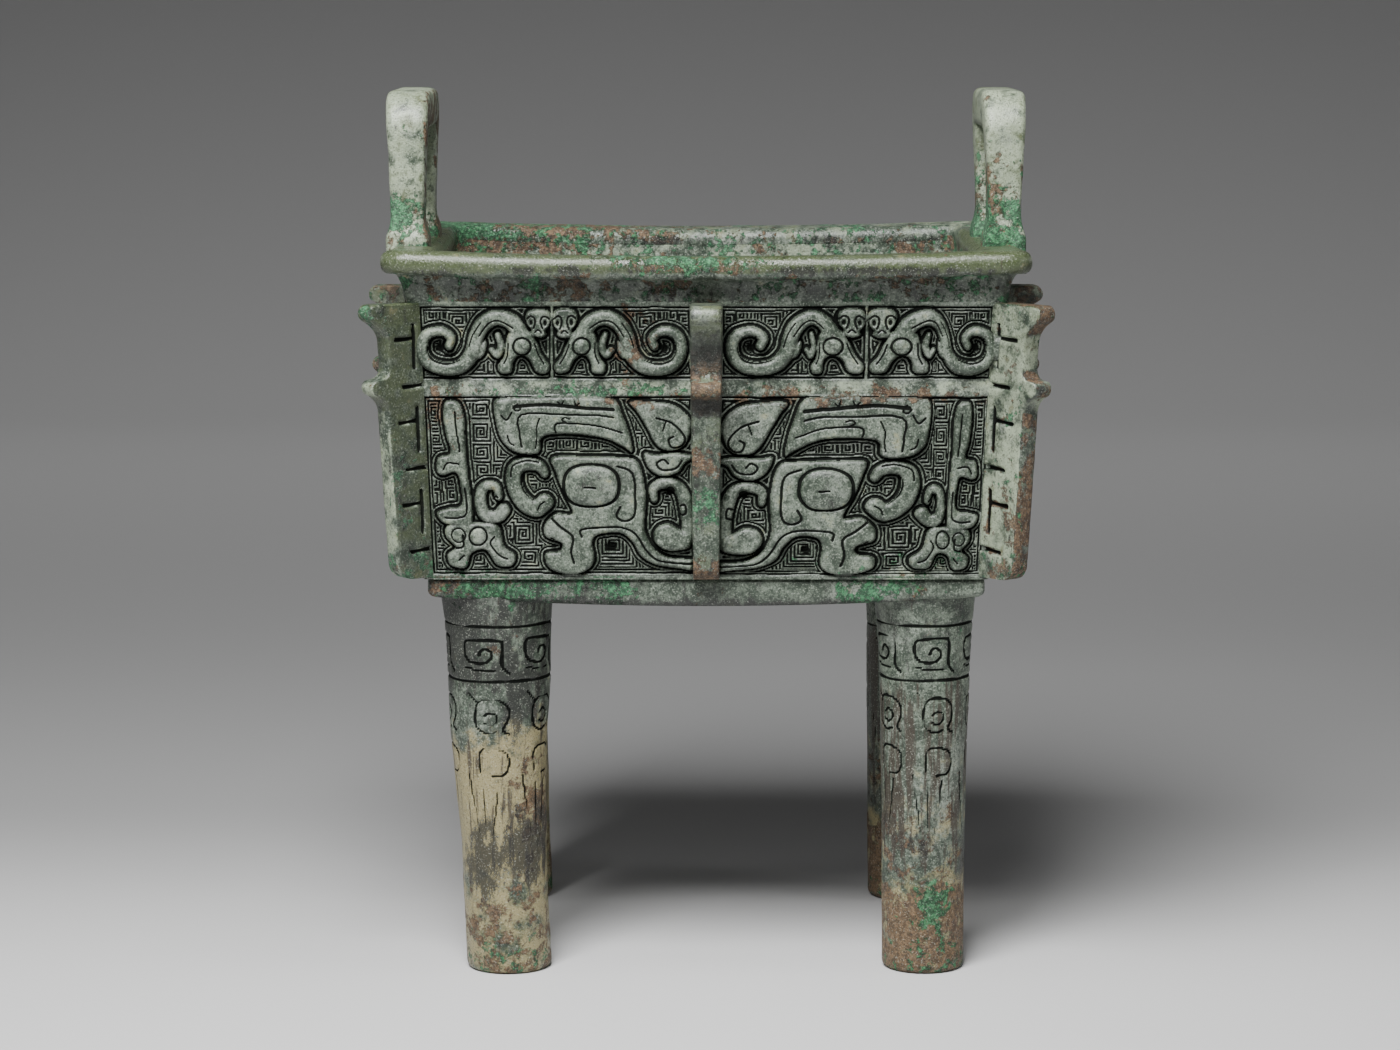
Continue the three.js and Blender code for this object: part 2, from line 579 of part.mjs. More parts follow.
function ding() {
  const solids = [vessel()];
  for (const spot of LEGS) solids.push(leg(spot));
  for (const side of [-1, 1]) {
    solids.push(handle(side));
    for (const end of [-1, 1]) solids.push(collar(side, end));
  }
  const flanges = CORNER_FLANGES.map(cornerFlange);
  for (const [x, y] of [[0, -1], [1, 0], [0, 1], [-1, 0]]) flanges.push(midFlange(x, y));
  for (const { plate } of flanges) solids.push(plate);
  const frontRelief = wallRelief(1, false);
  const backRelief = wallRelief(1, true);
  const shortSpan = (WALL_FOOT_DEPTH / 2 - PANEL_OUTER_MARGIN - PANEL_INNER)
    / (LONG_SPAN - PANEL_OUTER_MARGIN - PANEL_INNER);
  const shortRelief = wallRelief(shortSpan, true);
  solids.push(onWall(frontRelief, 0, WALL_FOOT_DEPTH / 2));
  solids.push(onWall(backRelief, 2, WALL_FOOT_DEPTH / 2));
  for (const quarter of [1, 3]) solids.push(onWall(shortRelief, quarter, WALL_FOOT_LENGTH / 2));
  return joined(solids).subtract(joined(flanges.flatMap(({ slots }) => slots)));
}

const patina = new THREE.MeshStandardMaterial({ color: COLOURS.patina, roughness: 0.62, metalness: 0.35 });
const vesselMesh = new THREE.Mesh(geometryOf(ding()), patina);
vesselMesh.name = "square_ding";

const object = new THREE.Group();
object.add(vesselMesh);

export default object;
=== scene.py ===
import json
import math

import bpy
import numpy as np
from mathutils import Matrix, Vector

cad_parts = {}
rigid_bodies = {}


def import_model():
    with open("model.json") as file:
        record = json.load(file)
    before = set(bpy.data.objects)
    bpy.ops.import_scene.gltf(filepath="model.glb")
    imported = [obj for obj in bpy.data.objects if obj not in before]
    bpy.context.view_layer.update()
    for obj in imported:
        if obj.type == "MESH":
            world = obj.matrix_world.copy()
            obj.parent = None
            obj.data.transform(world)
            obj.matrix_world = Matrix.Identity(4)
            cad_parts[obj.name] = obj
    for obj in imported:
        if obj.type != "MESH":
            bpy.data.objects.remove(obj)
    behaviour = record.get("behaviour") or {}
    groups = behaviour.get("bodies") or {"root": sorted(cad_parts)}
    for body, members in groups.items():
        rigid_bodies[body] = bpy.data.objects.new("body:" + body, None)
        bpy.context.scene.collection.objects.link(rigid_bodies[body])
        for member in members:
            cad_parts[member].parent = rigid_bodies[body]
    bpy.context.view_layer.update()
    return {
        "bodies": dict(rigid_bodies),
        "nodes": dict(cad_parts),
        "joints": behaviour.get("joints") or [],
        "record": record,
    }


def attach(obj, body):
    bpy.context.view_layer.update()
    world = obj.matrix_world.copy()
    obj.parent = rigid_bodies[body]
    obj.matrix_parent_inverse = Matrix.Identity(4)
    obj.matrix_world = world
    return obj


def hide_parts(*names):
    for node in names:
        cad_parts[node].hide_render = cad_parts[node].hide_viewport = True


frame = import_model()

# Sizes in millimetres, the same as the CAD part's. X is along the long side, Y to the back, Z up.
MM = 0.001
RIM_LENGTH, RIM_DEPTH, RIM_HEIGHT, RIM_SAG = 210.4, 171.0, 243.0, 2.0
WALL_TOP = (195.0, 152.0)
WALL_FOOT = (188.0, 145.0)
WALL_TOP_Z, WALL_FOOT_Z = 226.0, 135.0
WALL_THICKNESS = 6.5
BASIN_FLOOR_Z = 134.0
BASIN_CORNER = 9.0
LEG_RADIUS, LEG_FLARE, LEG_FLARE_HEIGHT, LEG_ROOT_Z = 14.2, 2.2, 34.0, 131.0
LEG_DEPTH_SPACING = 104.0
HANDLE_HEIGHT, HANDLE_LENGTH, HANDLE_POST, HANDLE_INSET = 49.5, 66.0, 13.0, 5.5
HANDLE_CENTRE = RIM_LENGTH / 2 - HANDLE_INSET
HANDLE_FOOT_THICKNESS, HANDLE_TOP_THICKNESS = 11.2, 15.6
FLANGE_TOP_Z, FLANGE_FOOT_Z, FLANGE_REACH, FLANGE_NECK, HOOK_REACH = 225.6, 135.6, 12.2, 11.0, 18.0
LOWER_HOOK_DROP = 24.6
PANEL_INNER = 5.5
PANEL_FOOT, PANEL_TOP, FRIEZE_FOOT, FRIEZE_TOP = 1.2, 60.2, 65.0, 89.6
SHORT_SQUEEZE = (WALL_FOOT[1] / 2 - 4.6 - PANEL_INNER) / (WALL_FOOT[0] / 2 - 4.6 - PANEL_INNER)


# Noise and small helpers

def lattice(ix, iy, iz, seed):
    h = (ix * 374761393 + iy * 668265263 + iz * 1442695041 + seed * 1274126177) & 0xFFFFFFFF
    h = ((h ^ (h >> 13)) * 1274126177) & 0xFFFFFFFF
    return ((h ^ (h >> 16)) & 0xFFFFFF) / float(0xFFFFFF)


def noise(points, size, seed=0):
    q = np.asarray(points, float) / size
    i = np.floor(q).astype(np.int64)
    f = q - i
    f = f * f * (3 - 2 * f)
    total = np.zeros(q.shape[:-1])
    for dx in (0, 1):
        wx = f[..., 0] if dx else 1 - f[..., 0]
        for dy in (0, 1):
            wy = f[..., 1] if dy else 1 - f[..., 1]
            for dz in (0, 1):
                wz = f[..., 2] if dz else 1 - f[..., 2]
                total += wx * wy * wz * lattice(i[..., 0] + dx, i[..., 1] + dy, i[..., 2] + dz, seed)
    return total * 2 - 1


def rough_noise(points, size, seed=0):
    return noise(points, size, seed) * 0.6 + noise(points, size * 0.45, seed + 7) * 0.3 \
        + noise(points, size * 0.2, seed + 13) * 0.15


def step(low, high, x):
    t = np.clip((x - low) / (high - low), 0, 1)
    return t * t * (3 - 2 * t)


def lift3(u, v):
    return np.stack([u, v, np.zeros_like(u)], -1)


# Lines and outlines on a surface, in millimetres

def smooth_line(points, closed=False, steps=6):
    p = np.array(points, float)
    n = len(p)
    out = []
    for i in range(n if closed else n - 1):
        if closed:
            a, b, c, d = (p[(i + k) % n] for k in (-1, 0, 1, 2))
        else:
            a, b, c, d = (p[min(max(i + k, 0), n - 1)] for k in (-1, 0, 1, 2))
        for k in range(steps):
            t = k / steps
            out.append(0.5 * (2 * b + (c - a) * t + (2 * a - 5 * b + 4 * c - d) * t * t
                              + (3 * b - a - 3 * c + d) * t ** 3))
    if not closed:
        out.append(p[-1])
    return np.array(out)


def close_to(points, line, margin):
    low, high = line.min(0) - margin, line.max(0) + margin
    return np.nonzero(((points > low) & (points < high)).all(1))[0]


def line_distance(points, line, widths=None):
    best = np.full(len(points), 99.0)
    count = len(line) - 1
    for i in range(count):
        a, e = line[i], line[i + 1] - line[i]
        w = points - a
        t = np.clip((w @ e) / max(e @ e, 1e-9), 0, 1)
        d = np.hypot(w[:, 0] - t * e[0], w[:, 1] - t * e[1])
        if widths is not None:
            d = d - np.interp((i + t) / count, [0, 0.5, 1], widths) / 2
        best = np.minimum(best, d)
    return best


def outline_distance(points, ring):
    closed = np.vstack([ring, ring[:1]])
    d = line_distance(points, closed)
    x, y = points.T
    inside = np.zeros(len(points), bool)
    for a, b in zip(closed[:-1], closed[1:]):
        if a[1] == b[1]:
            continue
        crosses = (a[1] > y) != (b[1] > y)
        inside ^= crosses & (x < (b[0] - a[0]) * (y - a[1]) / (b[1] - a[1]) + a[0])
    return np.where(inside, -d, d)


# The carving of half a wall. u is the distance from the wall's middle, v the height above its foot.
# A raised shape is ("ring", points, height, rounding) or ("band", points, widths, height).

MASK = [
    ("ring", [(30, 59.3), (40, 60.2), (56, 60), (67, 59.6), (69, 57), (68.4, 52), (66.4, 45.4),
              (62, 41.8), (54.6, 41.6), (53.6, 46.4), (49, 47.8), (40, 47.6), (32, 46), (26.4, 43.2),
              (24, 42), (25, 48), (27, 54)], 1.6, 2),
    ("ring", [(22, 38.4), (28, 40.2), (40, 40.4), (50, 40.2), (49, 35), (46.4, 28), (43.6, 21.6),
              (48.8, 21.4), (52.6, 18), (52.4, 14), (47.4, 12), (47.6, 9.4), (52.4, 8.4), (51.6, 4),
              (46, 1.6), (40, 2.2), (36.6, 6), (37.2, 12), (35, 14.8), (28, 15.2), (24, 12), (21.4, 7.6),
              (16, 4.6), (8, 3.2), (4, 3), (4, 6.2), (12, 7), (17.4, 10.4), (20, 17),
              (19.6, 28)], 1.5, 2.2),
    ("band", [(52.6, 34.8), (54.4, 37.2), (58.6, 38), (62, 36.2), (62.2, 30.4), (59.4, 25.4),
              (55.4, 23.2), (52.6, 25.2)], (2.8, 5.4, 5.8), 1.6),
    ("ring", [(5, 52), (9, 56.6), (15, 58.2), (24.6, 58.4), (22.4, 55), (19.4, 50), (16.4, 44.4),
              (13, 42.4), (8.6, 43), (6, 46)], 1.3, 2.2),
    ("ring", [(4, 40.4), (7, 38), (9, 35.2), (14, 33.8), (18.6, 36.4), (20.4, 41.4), (16, 41),
              (10, 41.6)], 1.4, 2),
    ("band", [(5.4, 15), (6.2, 23), (8.6, 29.6), (13, 31.6), (17, 30), (17, 26.4)], (5, 4, 2.4), 1.4),
    ("ring", [(5, 10.6), (9, 9.4), (14, 9.8), (17.2, 13), (16.2, 17), (12.4, 18.4), (9, 16.6),
              (5, 14.6)], 1.9, 2.6),
]
UPRIGHT_DRAGON = [
    ("ring", [(80.6, 58.2), (84.6, 58.4), (85.4, 54), (84.6, 47), (83.2, 41.4), (87, 40), (87.6, 35.6),
              (85.6, 34.2), (81.4, 35), (80, 31), (79.8, 24.4), (84, 23.4), (88, 22), (86, 18.6),
              (80, 17.4), (76.4, 18.6), (77, 30), (78.4, 44), (78.6, 53)], 1.5, 2),
    ("band", [(67.6, 27), (68.6, 30.6), (72.4, 30.4), (73.6, 26), (72.4, 21.4), (68.4, 20.6),
              (66, 22.8)], (2.4, 4, 4.4), 1.5),
    ("ring", [(68, 17.6), (75, 18.6), (84, 17.8), (85, 14), (82, 10.6), (84.6, 8), (83.4, 4.4),
              (78.6, 3.8), (76.8, 8.6), (72, 9.4), (68.4, 4.6), (63.4, 4.4), (62.4, 8),
              (66, 11)], 1.5, 2.2),
]
FRIEZE_DRAGON = [
    ("band", [(16.6, 11.6), (17.4, 14.4), (14, 16.6), (9.4, 15), (8, 10.6), (9.8, 6.4), (14.4, 4.4),
              (20.4, 5), (24.2, 9), (25.6, 14.4), (28, 18.8), (32.4, 21), (37, 19.6), (39.6, 16),
              (41.4, 12.4)], (2.8, 4.8, 5.4), 2.3),
    ("ring", [(36.6, 16.2), (42.4, 16.6), (45, 12.8), (46.8, 8.6), (49.2, 5.4), (48.4, 2.8), (44.8, 3.2),
              (43, 6.6), (41, 8.4), (38.8, 8.2), (37.4, 6), (36.8, 3), (33.2, 2.8), (32.6, 5.2),
              (34.6, 8.2), (35.2, 12.2)], 2, 2.2),
    ("band", [(30.6, 10.2), (32.4, 8.6), (33.6, 11.4), (32.6, 15.2)], (2, 2.6, 2), 1.5),
    ("ring", [(23.6, 8.6), (26.8, 7.6), (28.6, 10), (28.6, 13.4), (26.8, 12.2), (24.8, 12.6)], 1.6, 2),
    ("ring", [(41.6, 21.4), (42.8, 23.3), (45.7, 23.9), (48.6, 23.3), (49.8, 21.2), (49.2, 18.2),
              (48, 16.6), (48.3, 15.2), (46.6, 14.3), (44.6, 14.4), (43.1, 15.3), (43.4, 16.8),
              (42.1, 18.6)], 1.8, 1.7),
]
# Lines cut into the raised shapes, with their widths.
MASK_LINES = [
    ([(29, 37.5), (24, 35), (23, 27), (23.5, 21), (26.5, 19.3), (29.2, 21), (28, 24)], 0.9),
    ([(1, 5), (10, 5.2), (16, 6.5), (20, 10), (23, 15), (27, 17), (33, 17.3), (40.5, 16.5),
      (40.5, 14)], 0.8),
    ([(51, 20.5), (47, 17), (43.4, 14), (44, 9), (43, 5.5)], 0.9),
    ([(48, 12), (50.5, 13.6)], 0.7),
    ([(16, 53), (11, 51.5), (7, 47), (8, 44), (11, 43.5), (12, 46), (10.5, 47)], 0.8),
    ([(13, 52), (14, 49)], 0.6),
    ([(8, 39), (10, 36.5), (14, 36), (16, 38), (14, 39.5), (12.4, 38)], 0.8),
    ([(9, 24), (7, 24.6), (6.6, 21.6), (9.2, 21), (9.4, 19.2)], 0.8),
    ([(30, 56), (40, 56.6), (52, 57.6), (62, 57)], 1.3),
    ([(30, 53.4), (36, 54.2), (46, 54.4), (60, 54.3), (60.5, 48), (60, 43.6)], 0.75),
    ([(27.4, 48.2), (34, 50.4), (42, 51.4), (48.4, 51.4), (49.2, 49.6), (48.8, 48.4)], 0.7),
    ([(44.2, 52.9), (45.8, 53.4), (46.8, 52.6), (45.6, 51.9)], 0.55),
    ([(54, 53), (55.2, 50), (55, 46.6), (55.4, 43.4)], 0.55),
    ([(61.4, 57.8), (60.2, 56.2), (61.6, 55.6), (62.6, 56.6)], 0.6),
    ([(48.2, 58.6), (47, 57.6), (46.2, 58.8)], 0.55),
    ([(42.6, 58.8), (42.2, 57.4), (41.2, 58.2)], 0.55),
    ([(63, 55), (64.6, 52.6), (66.4, 54)], 0.7),
    ([(64.6, 47.6), (63.8, 45), (62.4, 44.2)], 0.6),
    ([(54.6, 38.6), (58.6, 39.2), (62.8, 37.6), (63.4, 34)], 0.6),
    ([(57.4, 35.6), (59.6, 35), (60.2, 32), (58.8, 28.6), (56.2, 26.2)], 0.6),
    ([(52.6, 25.6), (54.2, 24.4), (54.8, 22.8)], 0.6),
]
DRAGON_LINES = [
    ([(81.6, 55), (81, 48), (80.2, 42)], 0.7),
    ([(80.4, 38), (84, 38.4), (85.4, 36.2)], 0.7),
    ([(78.6, 30), (78.2, 22), (81, 20.2), (85, 20.4)], 0.7),
    ([(68, 27), (70.4, 28.4), (71.4, 25.6), (69, 23.4), (67.6, 25)], 0.8),
    ([(79.5, 14.6), (79.4, 11), (82.6, 10.4)], 0.8),
    ([(69, 14), (70.4, 11.6), (67.4, 8), (64.8, 6.8)], 0.7),
    ([(79, 8), (80.6, 6.4)], 0.7),
]
FRIEZE_LINES = [
    ([(15.2, 14.8), (11.4, 14.4), (9.8, 10.8), (11.4, 7.2), (15.8, 6), (20, 7.2)], 0.6),
    ([(26.6, 15), (29.6, 19.2), (33.4, 20), (37.6, 17.6)], 0.6),
    ([(23.4, 11.4), (24.6, 15.4), (27.2, 19.4)], 0.5),
    ([(44.4, 12.4), (45.6, 9), (47.4, 6)], 0.6),
    ([(36, 12.6), (35.8, 8.8), (34.6, 6)], 0.6),
    ([(42, 20.6), (43.2, 21.5), (44.5, 21), (44.8, 19.4), (44.2, 17.4)], 0.75),
    ([(49.3, 20.5), (48.1, 21.4), (46.9, 21), (46.6, 19.4), (47.2, 17.4)], 0.75),
    ([(44.6, 16), (45.7, 16.9), (46.8, 16)], 0.55),
]
# Centres of the square spirals of the ground.
MASK_SPIRALS = [
    (73, 55.5), (73, 48), (73, 41.2), (73, 35.6), (88.6, 54.6), (88.6, 45.6), (89.4, 39), (89.6, 32.4),
    (89.2, 26.4), (89.4, 20.4), (88.6, 13.6), (87.8, 8.2), (88, 3.4), (59.4, 14.4), (57.6, 6.8),
    (66, 9.6), (65.6, 15.6), (21, 50.4), (18.2, 44), (23.6, 55.6), (14.8, 22), (19, 27), (27.4, 43.2),
    (33.2, 44), (39, 44.2), (44.8, 44.4), (50.4, 44.2), (83.2, 31.4), (82.8, 27), (57.2, 29.4),
    (48.6, 25), (49.4, 30), (66.6, 34.6), (66.6, 50), (75.8, 26), (75.4, 6.4), (30, 10.8), (12.6, 36),
    (2, 55.4),
]
FRIEZE_SPIRALS = [
    (13.6, 10.8), (25, 6.4), (31.4, 15.4), (19.6, 19.2), (11, 21.2), (47.6, 11.6), (40.6, 4.6),
    (30.8, 4.6), (20.6, 13), (7, 20), (33.6, 10.4), (6.8, 3.4),
]
# The two dragons of half a frieze face each other across this line.
DRAGON_MIRROR = 50.0
# Centres and sizes of what is round in the motifs.
EYE, EYE_HALF = (37.4, 31), (8.7, 6.7)
PUPIL = [(36, 30.5), (39.6, 30.7)]
MASK_PITS = [(11.6, 29.2, 2.4), (31, 10.4, 2.6)]
DRAGON_EYE, DRAGON_EYE_RADIUS = (74.4, 14.3), 2.7
DRAGON_CURL, DRAGON_CURL_RADIUS = (80.8, 14.6), 2.2
CHEST, CHEST_RADIUS = (40.4, 11.6), 2.5
FACE_EYES = [(43.4, 19.3), (48, 19.2)]
TAIL_MIDDLE = (13.6, 10.8)


def pulse(x):
    return step(0.22, 0.6, 0.5 - 0.5 * np.cos(2 * math.pi * x))


def spiral(points, centres, pitch):
    best = np.full(len(points), 99.0)
    turn = np.zeros(len(points))
    for k, (cu, cv) in enumerate(centres):
        p, q = points[:, 0] - cu, points[:, 1] - cv
        if k % 2:
            p = -p
        if k % 3 == 1:
            p, q = q, -p
        bottom = (q < 0) & (p >= q) & (p <= -q + pitch)
        r = np.where(bottom, -q, np.maximum(np.abs(p), np.abs(q)))
        reach = np.maximum(np.abs(p), np.abs(q))
        closer = reach < best
        best = np.where(closer, reach, best)
        turn = np.where(closer, r, turn)
    return pulse(turn / pitch)


def opposite(path):
    """The same path on the other side of the line between two frieze dragons."""
    return [(2 * DRAGON_MIRROR - u, v) for u, v in path]


def raise_shapes(points, shapes, scale=1.0):
    outside = np.full(len(points), 50.0)
    height = np.zeros(len(points))
    for shape in shapes:
        line = smooth_line(shape[1], shape[0] == "ring", 5)
        near = close_to(points, line, 6)
        if not len(near):
            continue
        if shape[0] == "ring":
            d = outline_distance(points[near], line)
            top, rounding = shape[2], shape[3] * 0.6
        else:
            d = line_distance(points[near], line, shape[2])
            top, rounding = shape[3], max(shape[2]) * 0.36
        outside[near] = np.minimum(outside[near], d)
        t = np.clip(1 - np.maximum(-d, 0) / rounding, 0, 1)
        bulge = np.where(d < 0, 0.35 + 0.65 * np.sqrt(np.maximum(1 - t * t, 0)), 0.35 * step(0.5, 0, d))
        height[near] = np.maximum(height[near], 1.35 * top * bulge * scale)
    return outside, height


def cut_lines(points, lines, hollow):
    for line, width in lines:
        path = smooth_line(line, False, 4)
        near = close_to(points, path, 2)
        if len(near):
            d = line_distance(points[near], path)
            hollow[near] = np.maximum(hollow[near], step(width * 0.72, width * 0.24, d))


def deepen(cut, amount):
    np.maximum(cut, amount, out=cut)


def far_from(at, centre):
    return np.hypot(at[:, 0] - centre[0], at[:, 1] - centre[1])


def add_boss(height, cut, distance, radius, rise):
    """A low round boss with a groove round it."""
    height += rise * np.sqrt(np.clip(1 - (distance / radius) ** 2, 0, 1))
    deepen(cut, step(0.55, 0.2, np.abs(distance - radius - 0.3)))


def add_pit(height, cut, share, drop, shade):
    height -= drop * share
    deepen(cut, shade * share)


def mask_details(at, height, cut, depth):
    """The eye with its pupil, the pits beside the jaw, and the upright dragon's eye and curl."""
    eye = np.abs((at[:, 0] - EYE[0]) / EYE_HALF[0]) ** 2.5 + np.abs((at[:, 1] - EYE[1]) / EYE_HALF[1]) ** 2.5
    height += 1.9 * depth * np.sqrt(np.clip(1 - eye, 0, 1))
    cut *= eye > 1.02
    deepen(cut, step(0.11, 0.03, np.abs(eye ** 0.4 - 1.04)))
    add_boss(height, cut, far_from(at, DRAGON_EYE), DRAGON_EYE_RADIUS, 0.9 * depth)
    deepen(cut, 0.8 * step(0.5, 0.2, np.abs(far_from(at, DRAGON_CURL) - DRAGON_CURL_RADIUS)))
    deepen(cut, step(0.5, 0.2, line_distance(at, np.array(PUPIL))))
    for u, v, radius in MASK_PITS:
        add_pit(height, cut, step(radius, radius * 0.4, far_from(at, (u, v))), depth, 0.8)


def frieze_details(at, height, cut, depth):
    """On both dragons the boss on the chest, the eyes of the face and the middle of the curled tail."""
    for side in (at[:, 0], 2 * DRAGON_MIRROR - at[:, 0]):
        place = np.stack([side, at[:, 1]], 1)
        add_boss(height, cut, far_from(place, CHEST), CHEST_RADIUS, 0.9 * depth)
        for u, v in FACE_EYES:
            add_pit(height, cut, step(1.1, 0.3, np.hypot(side - u, (at[:, 1] - v) * 0.6)), 0.8 * depth, 0.8)
        add_pit(height, cut, step(3.2, 0.6, far_from(place, TAIL_MIDDLE)), 0.7 * depth, 0.75)


MASK_SHEET = (MASK + UPRIGHT_DRAGON, MASK_LINES + DRAGON_LINES, MASK_SPIRALS, mask_details)
FRIEZE_SHEET = (FRIEZE_DRAGON + [(kind, opposite(path), *rest) for kind, path, *rest in FRIEZE_DRAGON],
                FRIEZE_LINES + [(opposite(path), width) for path, width in FRIEZE_LINES],
                FRIEZE_SPIRALS + opposite(FRIEZE_SPIRALS), frieze_details)


def carve_field(at, edge, sheet, pitch, depth):
    """One field from its sheet of motifs. edge is the distance inwards from the frame of the field."""
    shapes, lines, centres, add_details = sheet
    outside, rise = raise_shapes(at, shapes, depth)
    near = np.minimum(outside, np.maximum(edge, 0))
    ground = np.where(near < 2.2, pulse(near / 1.1 + 0.02), spiral(at, centres, pitch))
    ground = np.maximum(ground, step(0.8, 0.5, outside))
    ground = np.where(outside < 0, 0, ground) * (edge > 0)
    cut = np.zeros(len(at))
    cut_lines(at, lines, cut)
    cut *= outside < -0.2
    height = rise - 0.85 * depth * np.where(outside < 0, 0, step(0, 0.4, edge)) * (0.35 + 0.65 * ground)
    add_details(at, height, cut, depth)
    height -= 0.4 * depth * cut
    # Painted lightness: painted shade, darkest along the rims of the shapes that stand out and gone 1.4 mm
    # inside them, and a lighter painted shade over the sunk ground of the field.
    raised = np.where(outside < 0, 0.4 + 0.6 * step(0, -1.4, outside), 0.75 + 0.25 * (edge < -0.5))
    return height, np.maximum(ground, cut), raised


def carving(u, v, outer, pitch, depth, seed):
    """Height of the carving, how deep a point lies in a cut line, and its painted lightness: painted shade
    along the rims of the shapes that stand out and on the sunk ground.
    """
    flat = lift3(u, v)
    u_drawn = u + 0.16 * noise(flat, 5.5, seed) + 0.06 * noise(flat, 2.2, seed + 3)
    v_drawn = v + 0.16 * noise(flat, 5.5, seed + 1) + 0.06 * noise(flat, 2.2, seed + 4)
    points = np.stack([u_drawn.ravel(), v_drawn.ravel()], 1)
    outer = outer.ravel()
    lower = points[:, 1] < (PANEL_TOP + FRIEZE_FOOT) / 2
    height, hollow, raised = np.zeros((3, len(points)))
    for pick, foot, top, sheet in ((lower, PANEL_FOOT, PANEL_TOP, MASK_SHEET),
                                   (~lower, FRIEZE_FOOT + 0.6, FRIEZE_TOP, FRIEZE_SHEET)):
        at = points[pick]
        edges = [at[:, 0] - PANEL_INNER * 0.7, outer[pick] - at[:, 0], at[:, 1] - foot, top - at[:, 1]]
        if sheet is FRIEZE_SHEET:
            at = at - np.array([0, FRIEZE_FOOT])
            edges.append(np.abs(at[:, 0] - DRAGON_MIRROR) - 0.2)
        edge = np.minimum.reduce(edges)
        height[pick], hollow[pick], raised[pick] = carve_field(at, edge, sheet, pitch, depth)
    hollow[(points[:, 1] > PANEL_TOP) & (points[:, 1] < FRIEZE_FOOT + 0.6)] = 0
    return height.reshape(u.shape), hollow.reshape(u.shape), raised.reshape(u.shape)


# Patina, with some painted shade and painted highlights: how much of each kind lies where on the vessel

def band(x, foot, low, high, top):
    """1 between low and high, falling to 0 at foot and top."""
    return step(foot, low, x) * step(top, high, x)


class Spots:
    """The points of one piece, with the fine, middle and broad noise that the patina follows."""

    def __init__(self, points, raised):
        self.points, self.raised = points, raised
        self.x, self.y, self.z = points.T
        self.front = step(20, -40, self.y)
        self.fine = rough_noise(points, 9, 2)
        self.mid = rough_noise(points, 14, 1)
        self.broad = rough_noise(points, 22, 3)

    def patch(self, centre, size):
        d = (self.points - np.array(centre)) / np.array(size)
        return np.exp(-0.5 * (d * d).sum(-1))


def wall_patina(s):
    strip = s.front * band(s.z, 195, 196.5, 199.5, 200.5)
    eyes = s.patch((-38, -75, 166), (8, 20, 7)) + s.patch((40, -75, 166), (8, 20, 7))
    brown = 0.5 * s.patch((-24, -76, 213), (7, 20, 12)) + 0.35 * s.patch((-86, -76, 192), (8, 30, 10))
    brown += 0.3 * s.patch((5, -75, 194), (70, 20, 3.2)) + 0.3 * s.patch((62, -75, 196), (30, 20, 3))
    green = 0.4 * s.patch((-30, -75, 197.5), (55, 20, 2.6)) + 0.3 * s.patch((70, -74, 140), (30, 20, 5))
    green += 0.3 * s.patch((-80, -74, 137), (16, 20, 4))
    return {"pale": 0.25 * step(0, 0.6, s.broad) + 0.34 * strip, "soot_and_shade": 0.3 * s.front * eyes,
            "brown": brown, "green": green}


def plinth_patina(s):
    crust = s.front * (0.85 + 0.8 * s.fine)
    green = 0.85 * crust * s.patch((-62, -70, 131), (26, 20, 9))
    green += 0.75 * crust * s.patch((56, -70, 131), (13, 20, 8))
    green += 0.35 * step(0.2, -0.4, s.broad) * (1 - s.front)
    brown = 0.45 * s.front * s.patch((-78, -70, 131), (22, 20, 9)) + 0.25 * step(0, 0.6, s.mid)
    soot_and_shade = 0.15 + 0.3 * s.front * s.patch((-62, -70, 131), (30, 20, 9))
    # Darker along the plinth's bottom, below about 129 mm, and in blotches.
    soot_and_shade += 0.55 * step(129, 126, s.z) + 0.2 * step(0.2, 0.6, s.mid)
    return {"green": green, "brown": brown, "soot_and_shade": soot_and_shade}


def rim_patina(s):
    lip = step(234.5, 236.5, s.z)
    neck = 1 - lip
    far = lip * step(40, 60, s.y)
    brown = far * (0.5 * s.patch((-48, 80, 240), (30, 20, 6)) + 0.2 * (1 + s.mid))
    brown += 0.55 * lip * s.patch((-8, -86, 237.5), (22, 20, 3.4)) + neck * (0.26 + 0.4 * s.mid)
    green = far * (0.4 * s.patch((-82, 80, 240), (16, 20, 6)) + 0.25 * (1 + s.fine))
    green += 0.5 * lip * s.patch((-6, -86, 239), (20, 20, 5)) + neck * (0.3 + 0.45 * s.fine) + 0.08 * lip
    # Painted shade on the lower half of the lip, where it turns under; then dark blotches on the lip, and a
    # blotchy darkening on the neck.
    soot_and_shade = lip * step(239, 236.6, s.z) * (0.5 + 0.4 * s.mid) + 0.22 * lip * step(0, 0.6, s.mid)
    soot_and_shade += neck * (0.2 + 0.4 * s.mid)
    olive = lip * (0.8 + 0.3 * s.broad) * (1 - 0.6 * far)
    pale = 0.3 * lip * step(241.4, 242.8, s.z) + 0.25 * far
    return {"brown": brown, "green": green, "soot_and_shade": soot_and_shade, "olive": olive, "pale": pale}


def basin_patina(s):
    brown = 0.6 * step(50, 80, np.abs(s.x)) * (0.7 + 0.6 * s.mid) + 0.25 * step(0, 0.5, s.broad)
    brown += 0.45 * s.patch((-40, 66, 228), (26, 20, 14))
    # Darker deeper down in the basin.
    return {"brown": brown, "green": 0.38 + 0.3 * s.fine, "olive": 0.2, "soot_and_shade": 0.3 * step(225, 150, s.z),
            "pale": 0.38 * step(40, 60, s.y) * step(200, 225, s.z)}


